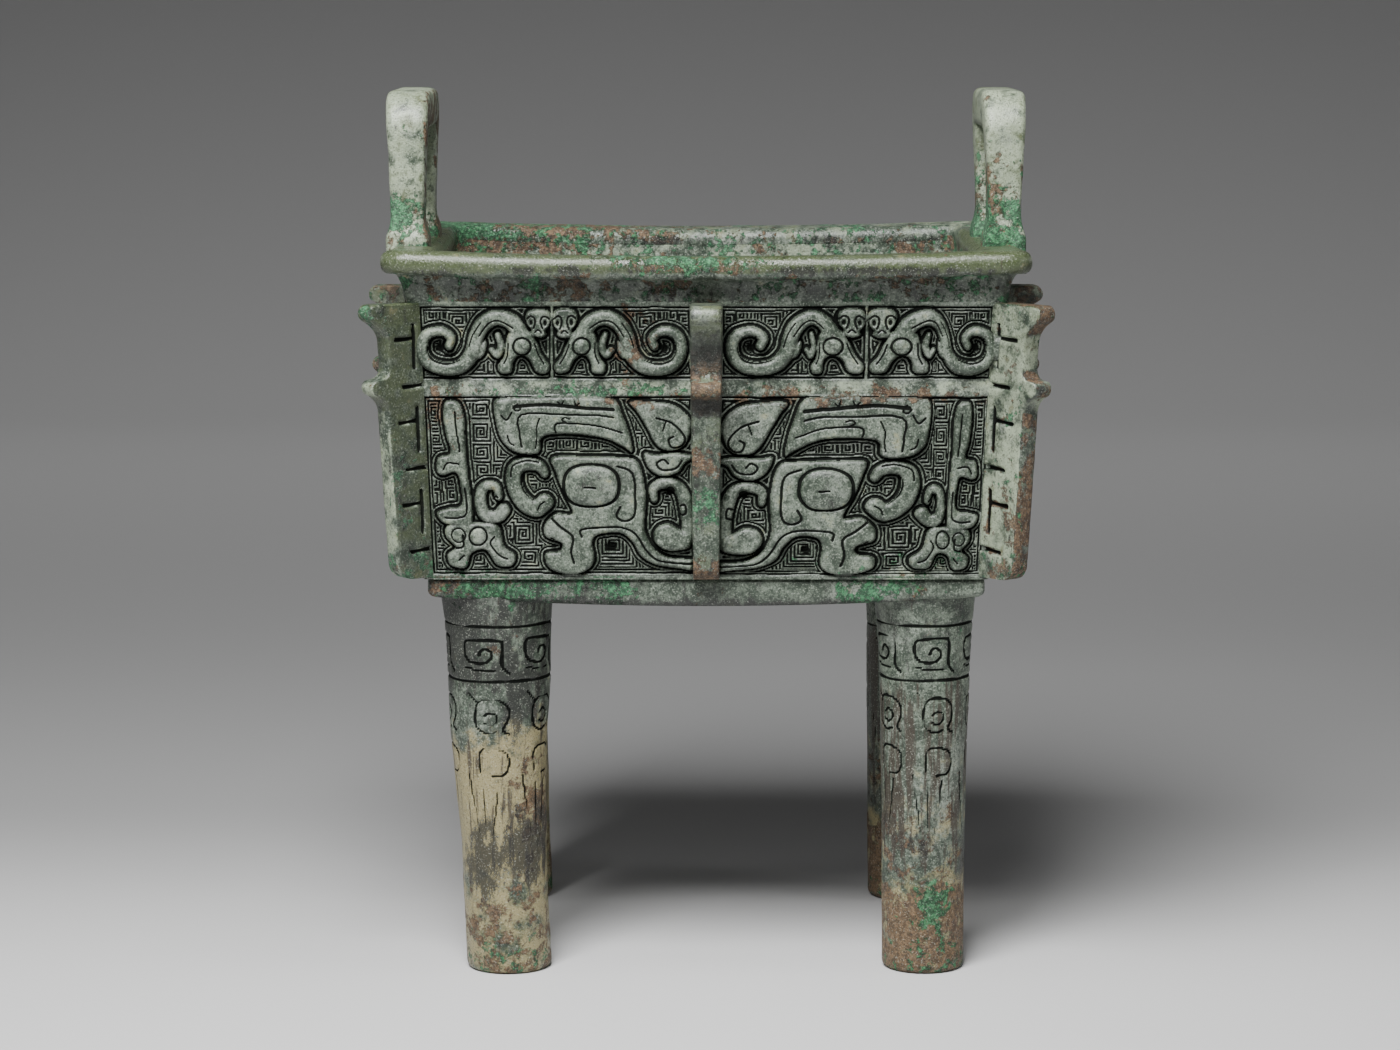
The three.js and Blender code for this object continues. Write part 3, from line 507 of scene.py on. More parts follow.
def handle_patina(s):
    root = step(262, 243, s.z)
    right = step(-10, 10, s.x)
    crusted = right * step(276, 262, s.z + 8 * s.broad)
    green = 0.12 + root * (0.25 + 0.4 * s.fine) + crusted * (0.34 + 0.3 * s.fine)
    green += 0.4 * s.patch((-103, -33, 252), (6, 12, 6))
    brown = root * (0.2 + 0.4 * s.mid) + crusted * (0.3 + 0.4 * s.mid) + 0.35 * step(0, 0.5, s.mid) * right
    brown += 0.45 * step(-95.5, -93, s.x) * step(0, -20, s.x) * (1 + s.fine)
    return {"green": green, "brown": brown, "pale": 0.66 + 0.24 * s.mid, "olive": 0.32 + 0.3 * s.broad}


def flange_patina(s):
    edge = step(0.75, 0.9, s.raised)
    face = 1 - edge
    rusty = step(0, 20, s.x) * s.front
    low = step(208, 198, s.z)
    green = 0.16 + 0.3 * s.fine + 0.4 * step(204, 222, s.z) * step(-0.1, 0.5, s.mid)
    green += 0.3 * step(150, 138, s.z) * (1 + s.mid)
    brown = 0.35 * step(146, 136, s.z) + 0.3 * step(0.1, 0.5, s.mid) * step(205, 222, s.z)
    brown += rusty * (edge * (0.5 + 0.3 * s.broad) + face * (0.18 + 0.3 * s.mid))
    olive = (0.5 + 0.3 * s.broad) * (1 - 0.6 * edge * low) * (1 - 0.7 * rusty * face)
    olive += 0.2 * step(206, 222, s.z)
    pale = edge * low * (0.46 + 0.4 * s.mid) * (1 - rusty) + rusty * face * (0.6 + 0.3 * s.mid)
    soot_and_shade = 0.1 + 0.3 * step(0.1, 0.6, s.fine) + 0.2 * rusty * edge
    return {"green": green, "brown": brown, "olive": olive, "pale": pale, "soot_and_shade": soot_and_shade}


def middle_patina(s):
    ends = step(100, 106, np.abs(s.x))
    brown = 0.62 * band(s.z, 186, 194, 206, 220) + 0.5 * band(s.z, 166, 172, 178, 184)
    brown += 0.7 * step(150, 139, s.z) + ends * (0.45 + 0.3 * s.fine)
    green = 0.45 * band(s.z, 148, 156, 164, 172) + ends * step(-20, -60, s.x) * (0.45 + 0.3 * s.mid)
    # Painted highlights on the face of the top hook and along the top of the lower hook; painted shade in bands
    # under each hook, on top of a blotchy darkening.
    pale = 0.42 * step(215, 219, s.z) + 0.55 * band(s.z, 196, 198.5, 200.5, 203)
    soot_and_shade = 0.26 + 0.25 * s.mid + 0.6 * band(s.z, 206, 209, 211, 214) + 0.6 * band(s.z, 188, 191, 194, 196.5)
    return {"brown": brown, "green": green, "pale": pale, "soot_and_shade": soot_and_shade, "olive": 0.34 + 0.3 * s.broad}


def leg_patina(s):
    left = step(10, -10, s.x)
    right = 1 - left
    top = step(72, 104, s.z + 14 * s.broad)
    run = rough_noise(s.points * np.array([1, 1, 0.1]), 2.6, 5)
    streak = right * step(112, 88, s.z) * step(26, 50, s.z) * (0.52 + 0.5 * run)
    streak += left * (0.2 * step(118, 96, s.z) + 0.06) * (1 + run) * step(22, 36, s.z)
    soot_and_shade = left * (0.5 * top + 0.2 * s.mid) + right * (0.24 * top + 0.1 * s.mid)
    soot_and_shade += left * (0.9 * s.patch((-58, -66, 42), (6, 12, 9)) + 0.8 * s.patch((-74, -66, 36), (4, 12, 9)))
    soot_and_shade += left * (0.7 * step(96, 106, s.z) * step(-72, -80, s.x + 3 * s.mid)
                    + 0.6 * s.patch((-62, -66, 92), (4, 20, 14)))
    soot_and_shade += 0.22 * band(s.z, 22, 36, 48, 66) * (1 + s.mid)
    cream = left * step(92, 68, s.z + 10 * s.broad) * step(26, 42, s.z) * (0.95 + 0.3 * s.mid)
    cream += right * 0.24 * step(84, 58, s.z) * (1 + 0.6 * s.mid)
    cream += (0.42 + 0.26 * left) * step(40, 22, s.z) * (1 + 0.7 * s.fine)
    brown = left * 0.6 * s.patch((-56, -64, 54), (7, 14, 14)) + 0.42 * step(40, 18, s.z + 8 * s.mid)
    brown += right * 0.27 * step(74, 54, s.z) * (1 + s.fine)
    green = 0.75 * right * s.patch((75, -66, 24), (5, 20, 6.5)) + 0.36 * step(22, 4, s.z + 8 * s.fine)
    green += 0.12 * top * (1 + s.fine)
    return {"streak": streak, "soot_and_shade": soot_and_shade, "cream": cream, "brown": brown, "green": green,
            "olive": 0.62 * step(50, 24, s.z + 10 * s.broad)}


PATINA = {"wall": wall_patina, "plinth": plinth_patina, "rim": rim_patina, "basin": basin_patina,
          "handle": handle_patina, "flange": flange_patina, "middle": middle_patina, "leg": leg_patina}
KINDS = ("green", "brown", "olive", "soot_and_shade", "cream", "pale", "streak")


def patina(points, part, raised):
    spots = Spots(points, raised)
    amounts = {kind: np.zeros(len(points)) for kind in KINDS}
    amounts["green"] += 0.02 + 0.16 * step(0.2, 0.7, spots.fine)
    amounts["brown"] += 0.02 + 0.18 * step(0.2, 0.7, spots.broad)
    for kind, amount in PATINA[part](spots).items():
        amounts[kind] += amount
    return amounts


# Meshes from grids of points

def grid_piece(name, points, part, hollow=None, raised=None, closed=False):
    """A mesh through a grid of points, with its patina and its painted shade as attributes. The rows of a
    closed grid are rings.
    """
    rows, columns = points.shape[:2]
    spans = columns if closed else columns - 1
    i, j = np.meshgrid(np.arange(rows - 1), np.arange(spans), indexing="ij")
    k = (j + 1) % columns
    low, high = i * columns, (i + 1) * columns
    quads = np.stack([low + j, low + k, high + k, high + j], -1).reshape(-1, 4)
    mesh = bpy.data.meshes.new(name)
    flat = points.reshape(-1, 3)
    mesh.vertices.add(len(flat))
    mesh.vertices.foreach_set("co", (flat * MM).astype(np.float32).ravel())
    mesh.loops.add(len(quads) * 4)
    mesh.loops.foreach_set("vertex_index", quads.astype(np.int32).ravel())
    mesh.polygons.add(len(quads))
    mesh.polygons.foreach_set("loop_start", np.arange(0, len(quads) * 4, 4, dtype=np.int32))
    mesh.update(calc_edges=True)
    mesh.polygons.foreach_set("use_smooth", np.ones(len(quads), bool))
    across = np.stack([j, j + 1, j + 1, j], -1) / spans
    along = np.stack([i, i, i + 1, i + 1], -1) / (rows - 1)
    uv = mesh.uv_layers.new(name="OFBake")
    uv.data.foreach_set("uv", np.stack([across, along], -1).astype(np.float32).ravel())
    raised = np.ones(len(flat)) if raised is None else raised.ravel()
    values = patina(flat, part, raised)
    values["hollow"] = np.zeros(len(flat)) if hollow is None else hollow.ravel()
    values["raised"] = raised
    for key, value in values.items():
        layer = mesh.attributes.new(key, "FLOAT", "POINT")
        layer.data.foreach_set("value", np.clip(value, 0, 1.5).astype(np.float32))
    piece = bpy.data.objects.new(name, mesh)
    bpy.context.scene.collection.objects.link(piece)
    return piece


# The walls

def half_size(axis, z):
    t = (z - WALL_FOOT_Z) / (WALL_TOP_Z - WALL_FOOT_Z)
    return (WALL_FOOT[axis] + (WALL_TOP[axis] - WALL_FOOT[axis]) * t) / 2


# The right half of the front is a little stretched: places on it, and the same places on the motif sheet.
STRETCHED_U, SHEET_U = [5, 32, 38.3, 52, 71.8, 79, 93], [5, 30, 38, 50, 67, 77, 93]
STRETCHED_V, SHEET_V = [0, 5, 50, PANEL_TOP, 62, 92], [0, 6.3, 51.4, PANEL_TOP, 62, 92]
# Where the mesh of a half starts beside the middle flange, ends before the corner, and the field's frame ends
HALF_START, HALF_END_INSET, FRAME_INSET = 3.4, 1.8, 4.4
FOOT_OVERLAP = 0.4


def wall_half(name, quarter, side, spacing, pitch, depth, seed):
    """Half of one wall. quarter counts the walls anticlockwise from the front, and side is the half."""
    length = 0 if quarter % 2 == 0 else 1
    rows = int((WALL_TOP_Z - WALL_FOOT_Z + FOOT_OVERLAP) / spacing) + 1
    columns = int((WALL_TOP[length] / 2 - 5) / spacing)
    heights = np.linspace(WALL_FOOT_Z - FOOT_OVERLAP, WALL_TOP_Z, rows)
    outer = half_size(length, heights)[:, None]
    u = HALF_START + (outer - HALF_END_INSET - HALF_START) * np.linspace(0, 1, columns)[None, :]
    z = np.repeat(heights[:, None], columns, 1)
    v = z - WALL_FOOT_Z
    squeeze = 1.0 if length == 0 else SHORT_SQUEEZE
    sheet_u = PANEL_INNER + (u - PANEL_INNER) / squeeze
    sheet_v = v
    if quarter == 0 and side > 0:
        sheet_u = np.interp(sheet_u, STRETCHED_U, SHEET_U)
        sheet_v = np.interp(v, STRETCHED_V, SHEET_V)
    frame = PANEL_INNER + (outer - FRAME_INSET - PANEL_INNER) / squeeze + 0 * u
    height, hollow, raised = carving(sheet_u, sheet_v, frame, pitch, depth, seed)
    fade = step(HALF_START, 5.2, u) * step(0, 0.8, v) * step(92, 90.4, v)
    height = height * fade + 0.10 * rough_noise(lift3(u * side, z), 6, 40 + quarter)
    slope = (WALL_TOP[1 - length] - WALL_FOOT[1 - length]) / 2 / (WALL_TOP_Z - WALL_FOOT_Z)
    scale = math.hypot(1, slope)
    x, y, z = side * u, -half_size(1 - length, z) - height / scale, z - height * slope / scale
    turn = quarter * math.pi / 2
    points = np.stack([x * math.cos(turn) - y * math.sin(turn), x * math.sin(turn) + y * math.cos(turn), z], -1)
    if side < 0:
        points, hollow, raised = points[:, ::-1], hollow[:, ::-1], raised[:, ::-1]
    return grid_piece(name, points, "wall", hollow * np.clip(hollow * 1.15, 0, 1), raised)


# Rings of a rounded rectangle, for rim, basin and plinth

LONG_STEPS, SHORT_STEPS, CORNER_STEPS = 96, 78, 9


def ring(half_x, half_y, corner):
    """Points around a rounded rectangle, anticlockwise from its right front corner."""
    arcs = []
    for sx, sy, start in ((1, -1, -90), (1, 1, 0), (-1, 1, 90), (-1, -1, 180)):
        angle = np.radians(start + 90 * np.linspace(0, 1, CORNER_STEPS + 1))
        x = sx * (half_x - corner) + corner * np.cos(angle)
        y = sy * (half_y - corner) + corner * np.sin(angle)
        arcs.append(np.stack([x, y], 1))
    out = []
    for k, arc in enumerate(arcs):
        t = np.linspace(0, 1, (LONG_STEPS if k % 2 else SHORT_STEPS) + 1)[1:-1, None]
        out += [arc, arc[-1] * (1 - t) + arcs[(k + 1) % 4][0] * t]
    return np.vstack(out)


def stacked(levels):
    """A grid through rings given as (half length, half depth, corner, height, sag), in their order."""
    rows = []
    for half_x, half_y, corner, z, sag in levels:
        flat = ring(half_x, half_y, corner)
        across = np.minimum(np.abs(flat[:, 0]) / half_x, np.abs(flat[:, 1]) / half_y)
        rows.append(np.column_stack([flat, z - sag * (1 - across ** 2)]))
    return np.array(rows)


# The neck: how far outside the wall's top, height, and share of the rim's sag
NECK = ((-0.6, 225.4, 0), (0, 226, 0), (0.25, 227.2, 0), (0.5, 228.6, 0.1), (0.8, 230.2, 0.3),
        (1.2, 231.8, 0.5),
        (1.8, 233.4, 0.7), (2.5, 234.6, 0.9), (3.4, 235.4, 1))
# The lip: how far inside its outer edge, and height
LIP = ((1.9, 235.5), (0.9, 236.2), (0.35, 237.2), (0.08, 238.4), (0, 239.4), (0.12, 240.4), (0.5, 241.4),
       (1.15, 242.2), (2.1, 242.75), (3.4, 243), (5, 243), (7, 242.9), (9, 242.8), (11, 242.7), (12.8, 242.5),
       (14, 242.1), (14.9, 241.4), (15.5, 240.4), (15.9, 239.2), (15.8, 237))


def rim_piece():
    levels = [(WALL_TOP[0] / 2 + g, WALL_TOP[1] / 2 + g, 2 + g * 0.6, z, RIM_SAG * sag) for g, z, sag in NECK]
    for inset, z in LIP:
        levels.append((RIM_LENGTH / 2 - inset, RIM_DEPTH / 2 - inset, max(8 - inset * 0.25, 2.5), z, RIM_SAG))
    points = stacked(levels)
    points[..., 2] += (0.22 * rough_noise(points, 17, 61)) * step(226, 236, points[..., 2]) - 0.1
    # Painted shade on the neck under the lip: a slight hollow value and less lightness.
    neck = step(235.5, 232, points[..., 2]) * step(225.6, 227, points[..., 2])
    return grid_piece("rim", points, "rim", neck * 0.1, 1 - 0.45 * neck, closed=True)


BASIN_MOUTH, BASIN_MOUTH_Z = (89.4, 69.8), 236.6


def basin_piece():
    def inner(axis, z):
        return half_size(axis, min(z, WALL_TOP_Z)) - WALL_THICKNESS

    levels = []
    turn_z = BASIN_FLOOR_Z + BASIN_CORNER
    for z in (238.4, BASIN_MOUTH_Z, 232, WALL_TOP_Z, 218, 208, 198, 188, 178, 168, 158, 150, turn_z):
        t = float(step(WALL_TOP_Z, BASIN_MOUTH_Z, np.array(z)))
        x, y = (inner(axis, z) * (1 - t) + BASIN_MOUTH[axis] * t for axis in (0, 1))
        levels.append((x, y, BASIN_CORNER - 3 * t, z, RIM_SAG * t))
    x, y = inner(0, turn_z), inner(1, turn_z)
    for k in range(1, 7):
        angle = k * math.pi / 12
        inset = BASIN_CORNER * (1 - math.cos(angle))
        z = turn_z - BASIN_CORNER * math.sin(angle)
        levels.append((x - inset, y - inset, max(BASIN_CORNER - inset, 1.2), z, 0))
    for share in (0.75, 0.45, 0.15, 0.01):
        levels.append(((x - 9) * share, (y - 9) * share, 0.8 * share, BASIN_FLOOR_Z, 0))
    points = stacked(levels)
    wave = 0.35 * rough_noise(points, 24, 71)
    wave *= step(143, 150, points[..., 2]) * step(230, 226, points[..., 2])
    points[..., 0] -= wave * np.sign(points[..., 0])
    return grid_piece("basin", points, "basin", closed=True)


def plinth_piece():
    x, y = WALL_FOOT[0] / 2, WALL_FOOT[1] / 2
    px, py = x - 2.6, y - 1.3
    levels = [(px * s, py * s, 2 * s, z, 0) for s, z in ((0.01, 125.1), (0.3, 125.1), (0.6, 125.2))]
    levels.append((px * 0.87, py * 0.85, 2, 127.2, 2.4))
    for inset, z, sag in ((3.4, 127.9, 2.9), (2, 128.2, 2.9), (0.9, 128.8, 2.8), (0.3, 129.5, 2.4),
                          (0, 130.5, 1.6),
                          (0, 131.6, 0.6), (0, 132.8, 0), (0.1, 133.8, 0), (0.6, 134.5, 0)):
        levels.append((px - inset, py - inset, 2, z, sag))
    levels += [(x - 4.2, y - 3.4, 2, 134.9, 0), (x - 1.2, y - 1.0, 2, 134.7, 0),
               (x - 0.2, y - 0.1, 2, 135.0, 0),
               (x + 0.3, y + 0.3, 2, 135.5, 0), (x - 1.6, y - 1.6, 2, 135.9, 0)]
    points = stacked(levels)
    bump = 0.35 * rough_noise(points, 5, 81) * band(points[..., 2], 127.5, 129, 133.6, 134.6)
    out = np.stack([points[..., 0] / px, points[..., 1] / py], -1)
    side = np.abs(out[..., 0]) > np.abs(out[..., 1])
    points[..., 0] += np.where(side, bump * np.sign(points[..., 0]), 0)
    points[..., 1] += np.where(side, 0, bump * np.sign(points[..., 1]))
    return grid_piece("plinth", points, "plinth", closed=True)


# The legs, with shallow lines: two rings, hooks between them, spirals, ovals and hanging blades

LEG_LINES = [
    ([(-1.2, 108.6), (-0.7, 110.4), (1, 110.7), (2.3, 109.1), (1.6, 106.9), (-0.7, 105.7), (-4.3, 106.3),
      (-5.8, 108.8), (-5.9, 112.1), (-4.3, 113.7), (3.9, 113.7), (5.1, 112.4), (5.1, 105.1),
      (7.1, 102.5)], 0.9),
    ([(-5.4, 104.2), (-1, 103.3), (3.2, 103.4)], 0.7),
    ([(7.3, 82.2), (5.5, 83.7), (6.9, 87), (6.8, 90.9), (4.5, 93.3), (0, 93.8), (-2.4, 92.1), (-3, 87.8),
      (-2.2, 84.1), (0.7, 82.5), (3.6, 83.1)], 0.85),
    ([(-0.3, 86), (1.9, 85.1), (3.6, 86.6), (3.3, 88.8), (1.3, 89.4), (-0.1, 88.2)], 0.8),
    ([(-5.2, 96), (-3.3, 93.8), (-2, 92.5)], 0.7),
    ([(-2, 69), (-2.2, 74.7), (-0.8, 76.9), (3.6, 76.9), (6.6, 75.2), (7.1, 71.1), (5.6, 68.3),
      (1.6, 67.6)], 0.8),
    ([(-6.5, 68), (-5.2, 58), (-3.4, 46), (-2, 37)], 0.7),
    ([(3.6, 66), (2.4, 57), (0.4, 46), (-2, 37)], 0.7),
    ([(-1.6, 65), (-1.4, 57), (-1.6, 50)], 0.6),
]
LEG_REPEATS = 5
LEG_RINGS = (117.9, 99.8)
# The rounded foot: height, and how far inside the leg's radius
LEG_FOOT = ((0, LEG_RADIUS - 0.4), (0, 2.6), (0.25, 1.35), (0.7, 0.6), (1.3, 0.2), (2.2, 0.02))
# The front legs aren't straight: height, growth of the radius, and shift along X
LEFT_SWELL = ((0, 0, -1.3), (42, -0.1, -1.3), (62, 0.7, -1.5), (81, 1.8, -1.4), (100, 2.8, -0.5),
              (120, 2.6, -0.2),
              (131, 2.6, -0.2))
RIGHT_SWELL = ((0, -0.45, -0.5), (53, -0.45, -0.1), (75, 0, 0), (96, 0.5, 0.3), (111, 0.7, 0.4),
               (131, 0.7, 0.4))
STRAIGHT = ((0, 0, 0), (131, 0, 0))


def leg_piece(name, top_x, foot_x, back, around, spacing, depth, start, swell=STRAIGHT):
    """A leg with around points in each ring. start is where its lines begin, along the leg's girth."""
    body = np.append(np.arange(3.2, LEG_ROOT_Z, spacing), LEG_ROOT_Z)
    foot_heights, foot_insets = np.array(LEG_FOOT).T
    inset = np.append(foot_insets, 0 * body)[:, None]
    angle = np.linspace(0, 2 * math.pi, around, endpoint=False) + math.pi / 2
    z, a = np.meshgrid(np.append(foot_heights, body), angle, indexing="ij")
    levels, growth, shift = np.array(swell).T
    rise = np.maximum(0, (z - (LEG_ROOT_Z - LEG_FLARE_HEIGHT)) / LEG_FLARE_HEIGHT)
    radius = LEG_RADIUS * (1 + 0.02 * z / LEG_ROOT_Z) + LEG_FLARE * rise ** 2 - inset
    radius = radius + np.interp(z, levels, growth)
    unit = 2 * math.pi * LEG_RADIUS / LEG_REPEATS
    arc = (a * LEG_RADIUS - start) % unit
    arc = np.where(arc > unit / 2 - 0.3, arc - unit, arc)
    skin = lift3(a * 14, z)
    at = np.stack([(arc + 0.25 * noise(skin, 5, 90)).ravel(), (z + 0.25 * noise(skin, 5, 91)).ravel()], 1)
    hollow = np.zeros(len(at))
    cut_lines(at, LEG_LINES, hollow)
    hollow = hollow.reshape(z.shape)
    for level in LEG_RINGS:
        deepen(hollow, step(0.75, 0.3, np.abs(z - level + 0.4 * noise(skin, 9, 92))))
    hollow *= 0.25 + 0.75 * step(-0.75, 0.1, rough_noise(skin, 9, 93)) * step(34, 70, z)
    centre = foot_x + (top_x - foot_x) * z / LEG_ROOT_Z + np.interp(z, levels, shift)
    y = back * LEG_DEPTH_SPACING / 2

    def surface(radius):
        return np.stack([centre + radius * np.cos(a), y + radius * np.sin(a), z], -1)

    smooth = surface(radius)
    scar = rough_noise(smooth * np.array([1, 1, 0.3]), 4.5, 94) * 0.16 + rough_noise(smooth, 26, 95) * 0.3
    points = surface(radius + scar * step(0, 2, z) - 0.45 * depth * hollow)
    return grid_piece(name, points, "leg", hollow * depth, closed=True)


# The handles: an arch swept along its middle line, thicker towards the top, with a collar at each root

def handle_piece(name, side):
    mid = (HANDLE_LENGTH - HANDLE_POST) / 2
    foot = RIM_HEIGHT - 4.8
    top = RIM_HEIGHT + HANDLE_HEIGHT - HANDLE_POST / 2
    bend = 7.2
    turn = np.linspace(0, math.pi / 2, 14)[1:]
    path = [(-mid, z) for z in np.linspace(foot, top - bend, 40)]
    path += [(-mid + bend - bend * math.cos(t), top - bend + bend * math.sin(t)) for t in turn]
    path += [(y, top) for y in np.linspace(-mid + bend, mid - bend, 34)[1:]]
    path += [(mid - bend + bend * math.sin(t), top - bend + bend * math.cos(t)) for t in turn]
    path += [(mid, z) for z in np.linspace(top - bend, foot, 40)[1:]]
    path = np.array(path)
    tangent = np.gradient(path, axis=0)
    tangent /= np.linalg.norm(tangent, axis=1)[:, None]
    normal = np.stack([-tangent[:, 1], tangent[:, 0]], 1)
    angle = np.linspace(0, 2 * math.pi, 40, endpoint=False)
    square = 0.36
    ca = np.sign(np.cos(angle)) * np.abs(np.cos(angle)) ** square
    sa = np.sign(np.sin(angle)) * np.abs(np.sin(angle)) ** square
    rise = np.clip((path[:, 1] - RIM_HEIGHT) / HANDLE_HEIGHT, 0, 1)
    thick = (HANDLE_FOOT_THICKNESS + (HANDLE_TOP_THICKNESS - HANDLE_FOOT_THICKNESS) * rise ** 2) / 2
    swell = step(253, 242.6, path[:, 1]) ** 2
    half_post = HANDLE_POST / 2 + 2.2 * swell
    thick = thick + 1.7 * swell
    y = path[:, 0, None] + normal[:, 0, None] * half_post[:, None] * sa[None, :]
    z = path[:, 1, None] + normal[:, 1, None] * half_post[:, None] * sa[None, :]
    x = side * HANDLE_CENTRE + thick[:, None] * ca[None, :]
    points = np.stack([x + 0 * y, y, z], -1)
    points[..., 0] += 0.28 * rough_noise(points, 7, 110 + side)
    points[..., 1] += 0.25 * rough_noise(points, 9, 113 + side)
    return grid_piece(name, points, "handle", closed=True)


# The flanges: plates with two blunt hooks, tee-shaped slots and short dashes in both side faces

def flange_profile(extra):
    """The edge of a flange from its top down, as distance from the wall and height."""
    top, low, foot = FLANGE_TOP_Z, FLANGE_TOP_Z - LOWER_HOOK_DROP, FLANGE_FOOT_Z
    reach, neck, edge = HOOK_REACH + extra, FLANGE_NECK + extra, FLANGE_REACH + extra
    corners = [(reach - 4.2, top), (reach - 2.2, top - 0.15), (reach - 0.7, top - 1.1), (reach, top - 2.8),
               (reach - 0.5, top - 4.6), (reach - 2.2, top - 5.8), (reach - 4.2, top - 7.2),
               (neck + 0.9, top - 9.4),
               (neck + 0.1, top - 12), (neck, low + 5), (neck + 0.3, low + 2.4), (neck + 1.6, low + 0.8),
               (neck + 3.6, low + 0.2), (reach - 1.4, low - 0.1), (reach - 0.3, low - 1.1), (reach, low - 2.6),
               (reach - 0.8, low - 4.3), (reach - 3, low - 5.6), (edge + 0.9, low - 7.6),
               (edge + 0.1, low - 10),
               (edge, low - 14), (edge - 0.5, foot + 26), (edge - 1, foot + 6), (edge - 1.3, foot + 3.4),
               (edge - 2.8, foot + 1.1), (edge - 5, foot + 0.1), (edge - 6, foot)]
    line = smooth_line(corners, False, 4)
    length = np.concatenate([[0], np.cumsum(np.linalg.norm(np.diff(line, axis=0), axis=1))])
    at = np.linspace(0, length[-1], 150)
    return np.stack([np.interp(at, length, line[:, 0]), np.interp(at, length, line[:, 1])], 1)


SLOT_SETS, SLOT_PITCH, SLOT_DROP, SLOT_HALF_WIDTH = 3, 27.0, 11.2, 0.65


def slot_distance(r, z, start, edge):
    """Distance from the slots of a side face: under each tee lies a short dash."""
    face = edge - start
    stem, end = start + face * 0.2, start + face * 0.7
    at = np.stack([r.ravel(), z.ravel()], 1)
    best = np.full(len(at), 9.0)
    for i in range(SLOT_SETS):
        bar = FLANGE_TOP_Z - SLOT_DROP - i * SLOT_PITCH
        for line in ([(stem, bar + 4.2), (stem + 0.3, bar - 9.8)], [(stem, bar), (end, bar - 0.5)],
                     [(start + 0.2, bar - 15.4), (start + face * 0.55, bar - 15.9)]):
            best = np.minimum(best, line_distance(at, np.array(line)))
    return best.reshape(r.shape) - SLOT_HALF_WIDTH


SIDE_COLUMNS, EDGE_COLUMNS = 20, 9
EDGE_ROUND, EDGE_POWER = 1.7, 0.45
# Painted shade on the side faces of a flange: the share of lightness they keep, more on the pale front right
# flange.
FACE_SHADE, PALE_FACE_SHADE = 0.42, 0.7


def flange_piece(name, place, extra, thick_top, thick_foot, start, part, face_shade=FACE_SHADE):
    """A flange. r is the distance from the wall, t the distance from the flange's middle plane."""
    profile = flange_profile(extra)
    reach, z = profile[:, :1], profile[:, 1:]
    root = -WALL_THICKNESS / 2
    thick = (thick_foot + (thick_top - thick_foot) * (z - FLANGE_FOOT_Z) / (FLANGE_TOP_Z - FLANGE_FOOT_Z)) / 2
    rounding = np.linspace(0, math.pi, EDGE_COLUMNS)
    edge_r = np.sin(rounding) ** EDGE_POWER
    edge_t = np.sign(np.cos(rounding)) * np.abs(np.cos(rounding)) ** EDGE_POWER
    inward = np.linspace(0, 1, SIDE_COLUMNS)[:-1] ** 0.9
    side_r = root + (reach - EDGE_ROUND - root) * inward[None, :]
    r = np.hstack([side_r, reach - EDGE_ROUND + EDGE_ROUND * edge_r[None, :], side_r[:, ::-1]])
    t = np.hstack([thick + 0 * side_r, thick * edge_t[None, :], -thick + 0 * side_r])
    z = z + 0 * r
    on_side = np.abs(t) > thick * 0.98
    slot = step(0.25, -0.35, slot_distance(r, z, start, FLANGE_REACH + extra)) * on_side
    wear = 0.16 * rough_noise(np.stack([r, t * 3, z], -1), 5, 120 + len(name))
    t = t - np.sign(t) * 1.3 * slot + np.sign(t) * wear * on_side
    r = r + wear * (r > reach - EDGE_ROUND)
    drop = 0.5 * (1 - step(0, 6, FLANGE_TOP_Z - z)) * (np.abs(t) > thick * 0.9)
    r = np.vstack([r[:1], r[:1], r, r[-1:], r[-1:]])
    t = np.vstack([t[:1] * 0, t[:1] * 0.8, t, t[-1:] * 0.8, t[-1:] * 0])
    z = np.vstack([z[:1], z[:1], z - drop, z[-1:], z[-1:]])
    none = slot[:1] * 0
    slot = np.vstack([none, none, slot, none, none])
    # Painted shade: darker side faces, and bands just under the two hooks, much darker on the middle flanges.
    shade = np.where(np.abs(t) > thick.mean() * 0.96, face_shade, 1.0)
    down = FLANGE_TOP_Z - z
    under_hooks = np.maximum(step(7, 12, down) * step(24, 19, down), step(28, 31, down) * step(37, 33, down))
    shade = shade * (1 - under_hooks * (0.95 if part == "middle" else 0.3))
    return grid_piece(name, place(r, t, z), part, slot, shade)


def corner_place(x, y, angle):
    turn = math.radians(angle)
    ex, ey = x * math.cos(turn), y * math.sin(turn)

    def place(r, t, z):
        return np.stack([x * half_size(0, z) + r * ex + t * ey, y * half_size(1, z) + r * ey - t * ex, z], -1)
    return place


def middle_place(x, y):
    def place(r, t, z):
        return np.stack([x * (half_size(0, z) + r) + y * t, y * (half_size(1, z) + r) - x * t, z], -1)
    return place


# Materials

def nodes_of(name):
    material = bpy.data.materials.new(name)
    material.use_nodes = True
    tree = material.node_tree
    return material, tree, tree.nodes["Principled BSDF"]


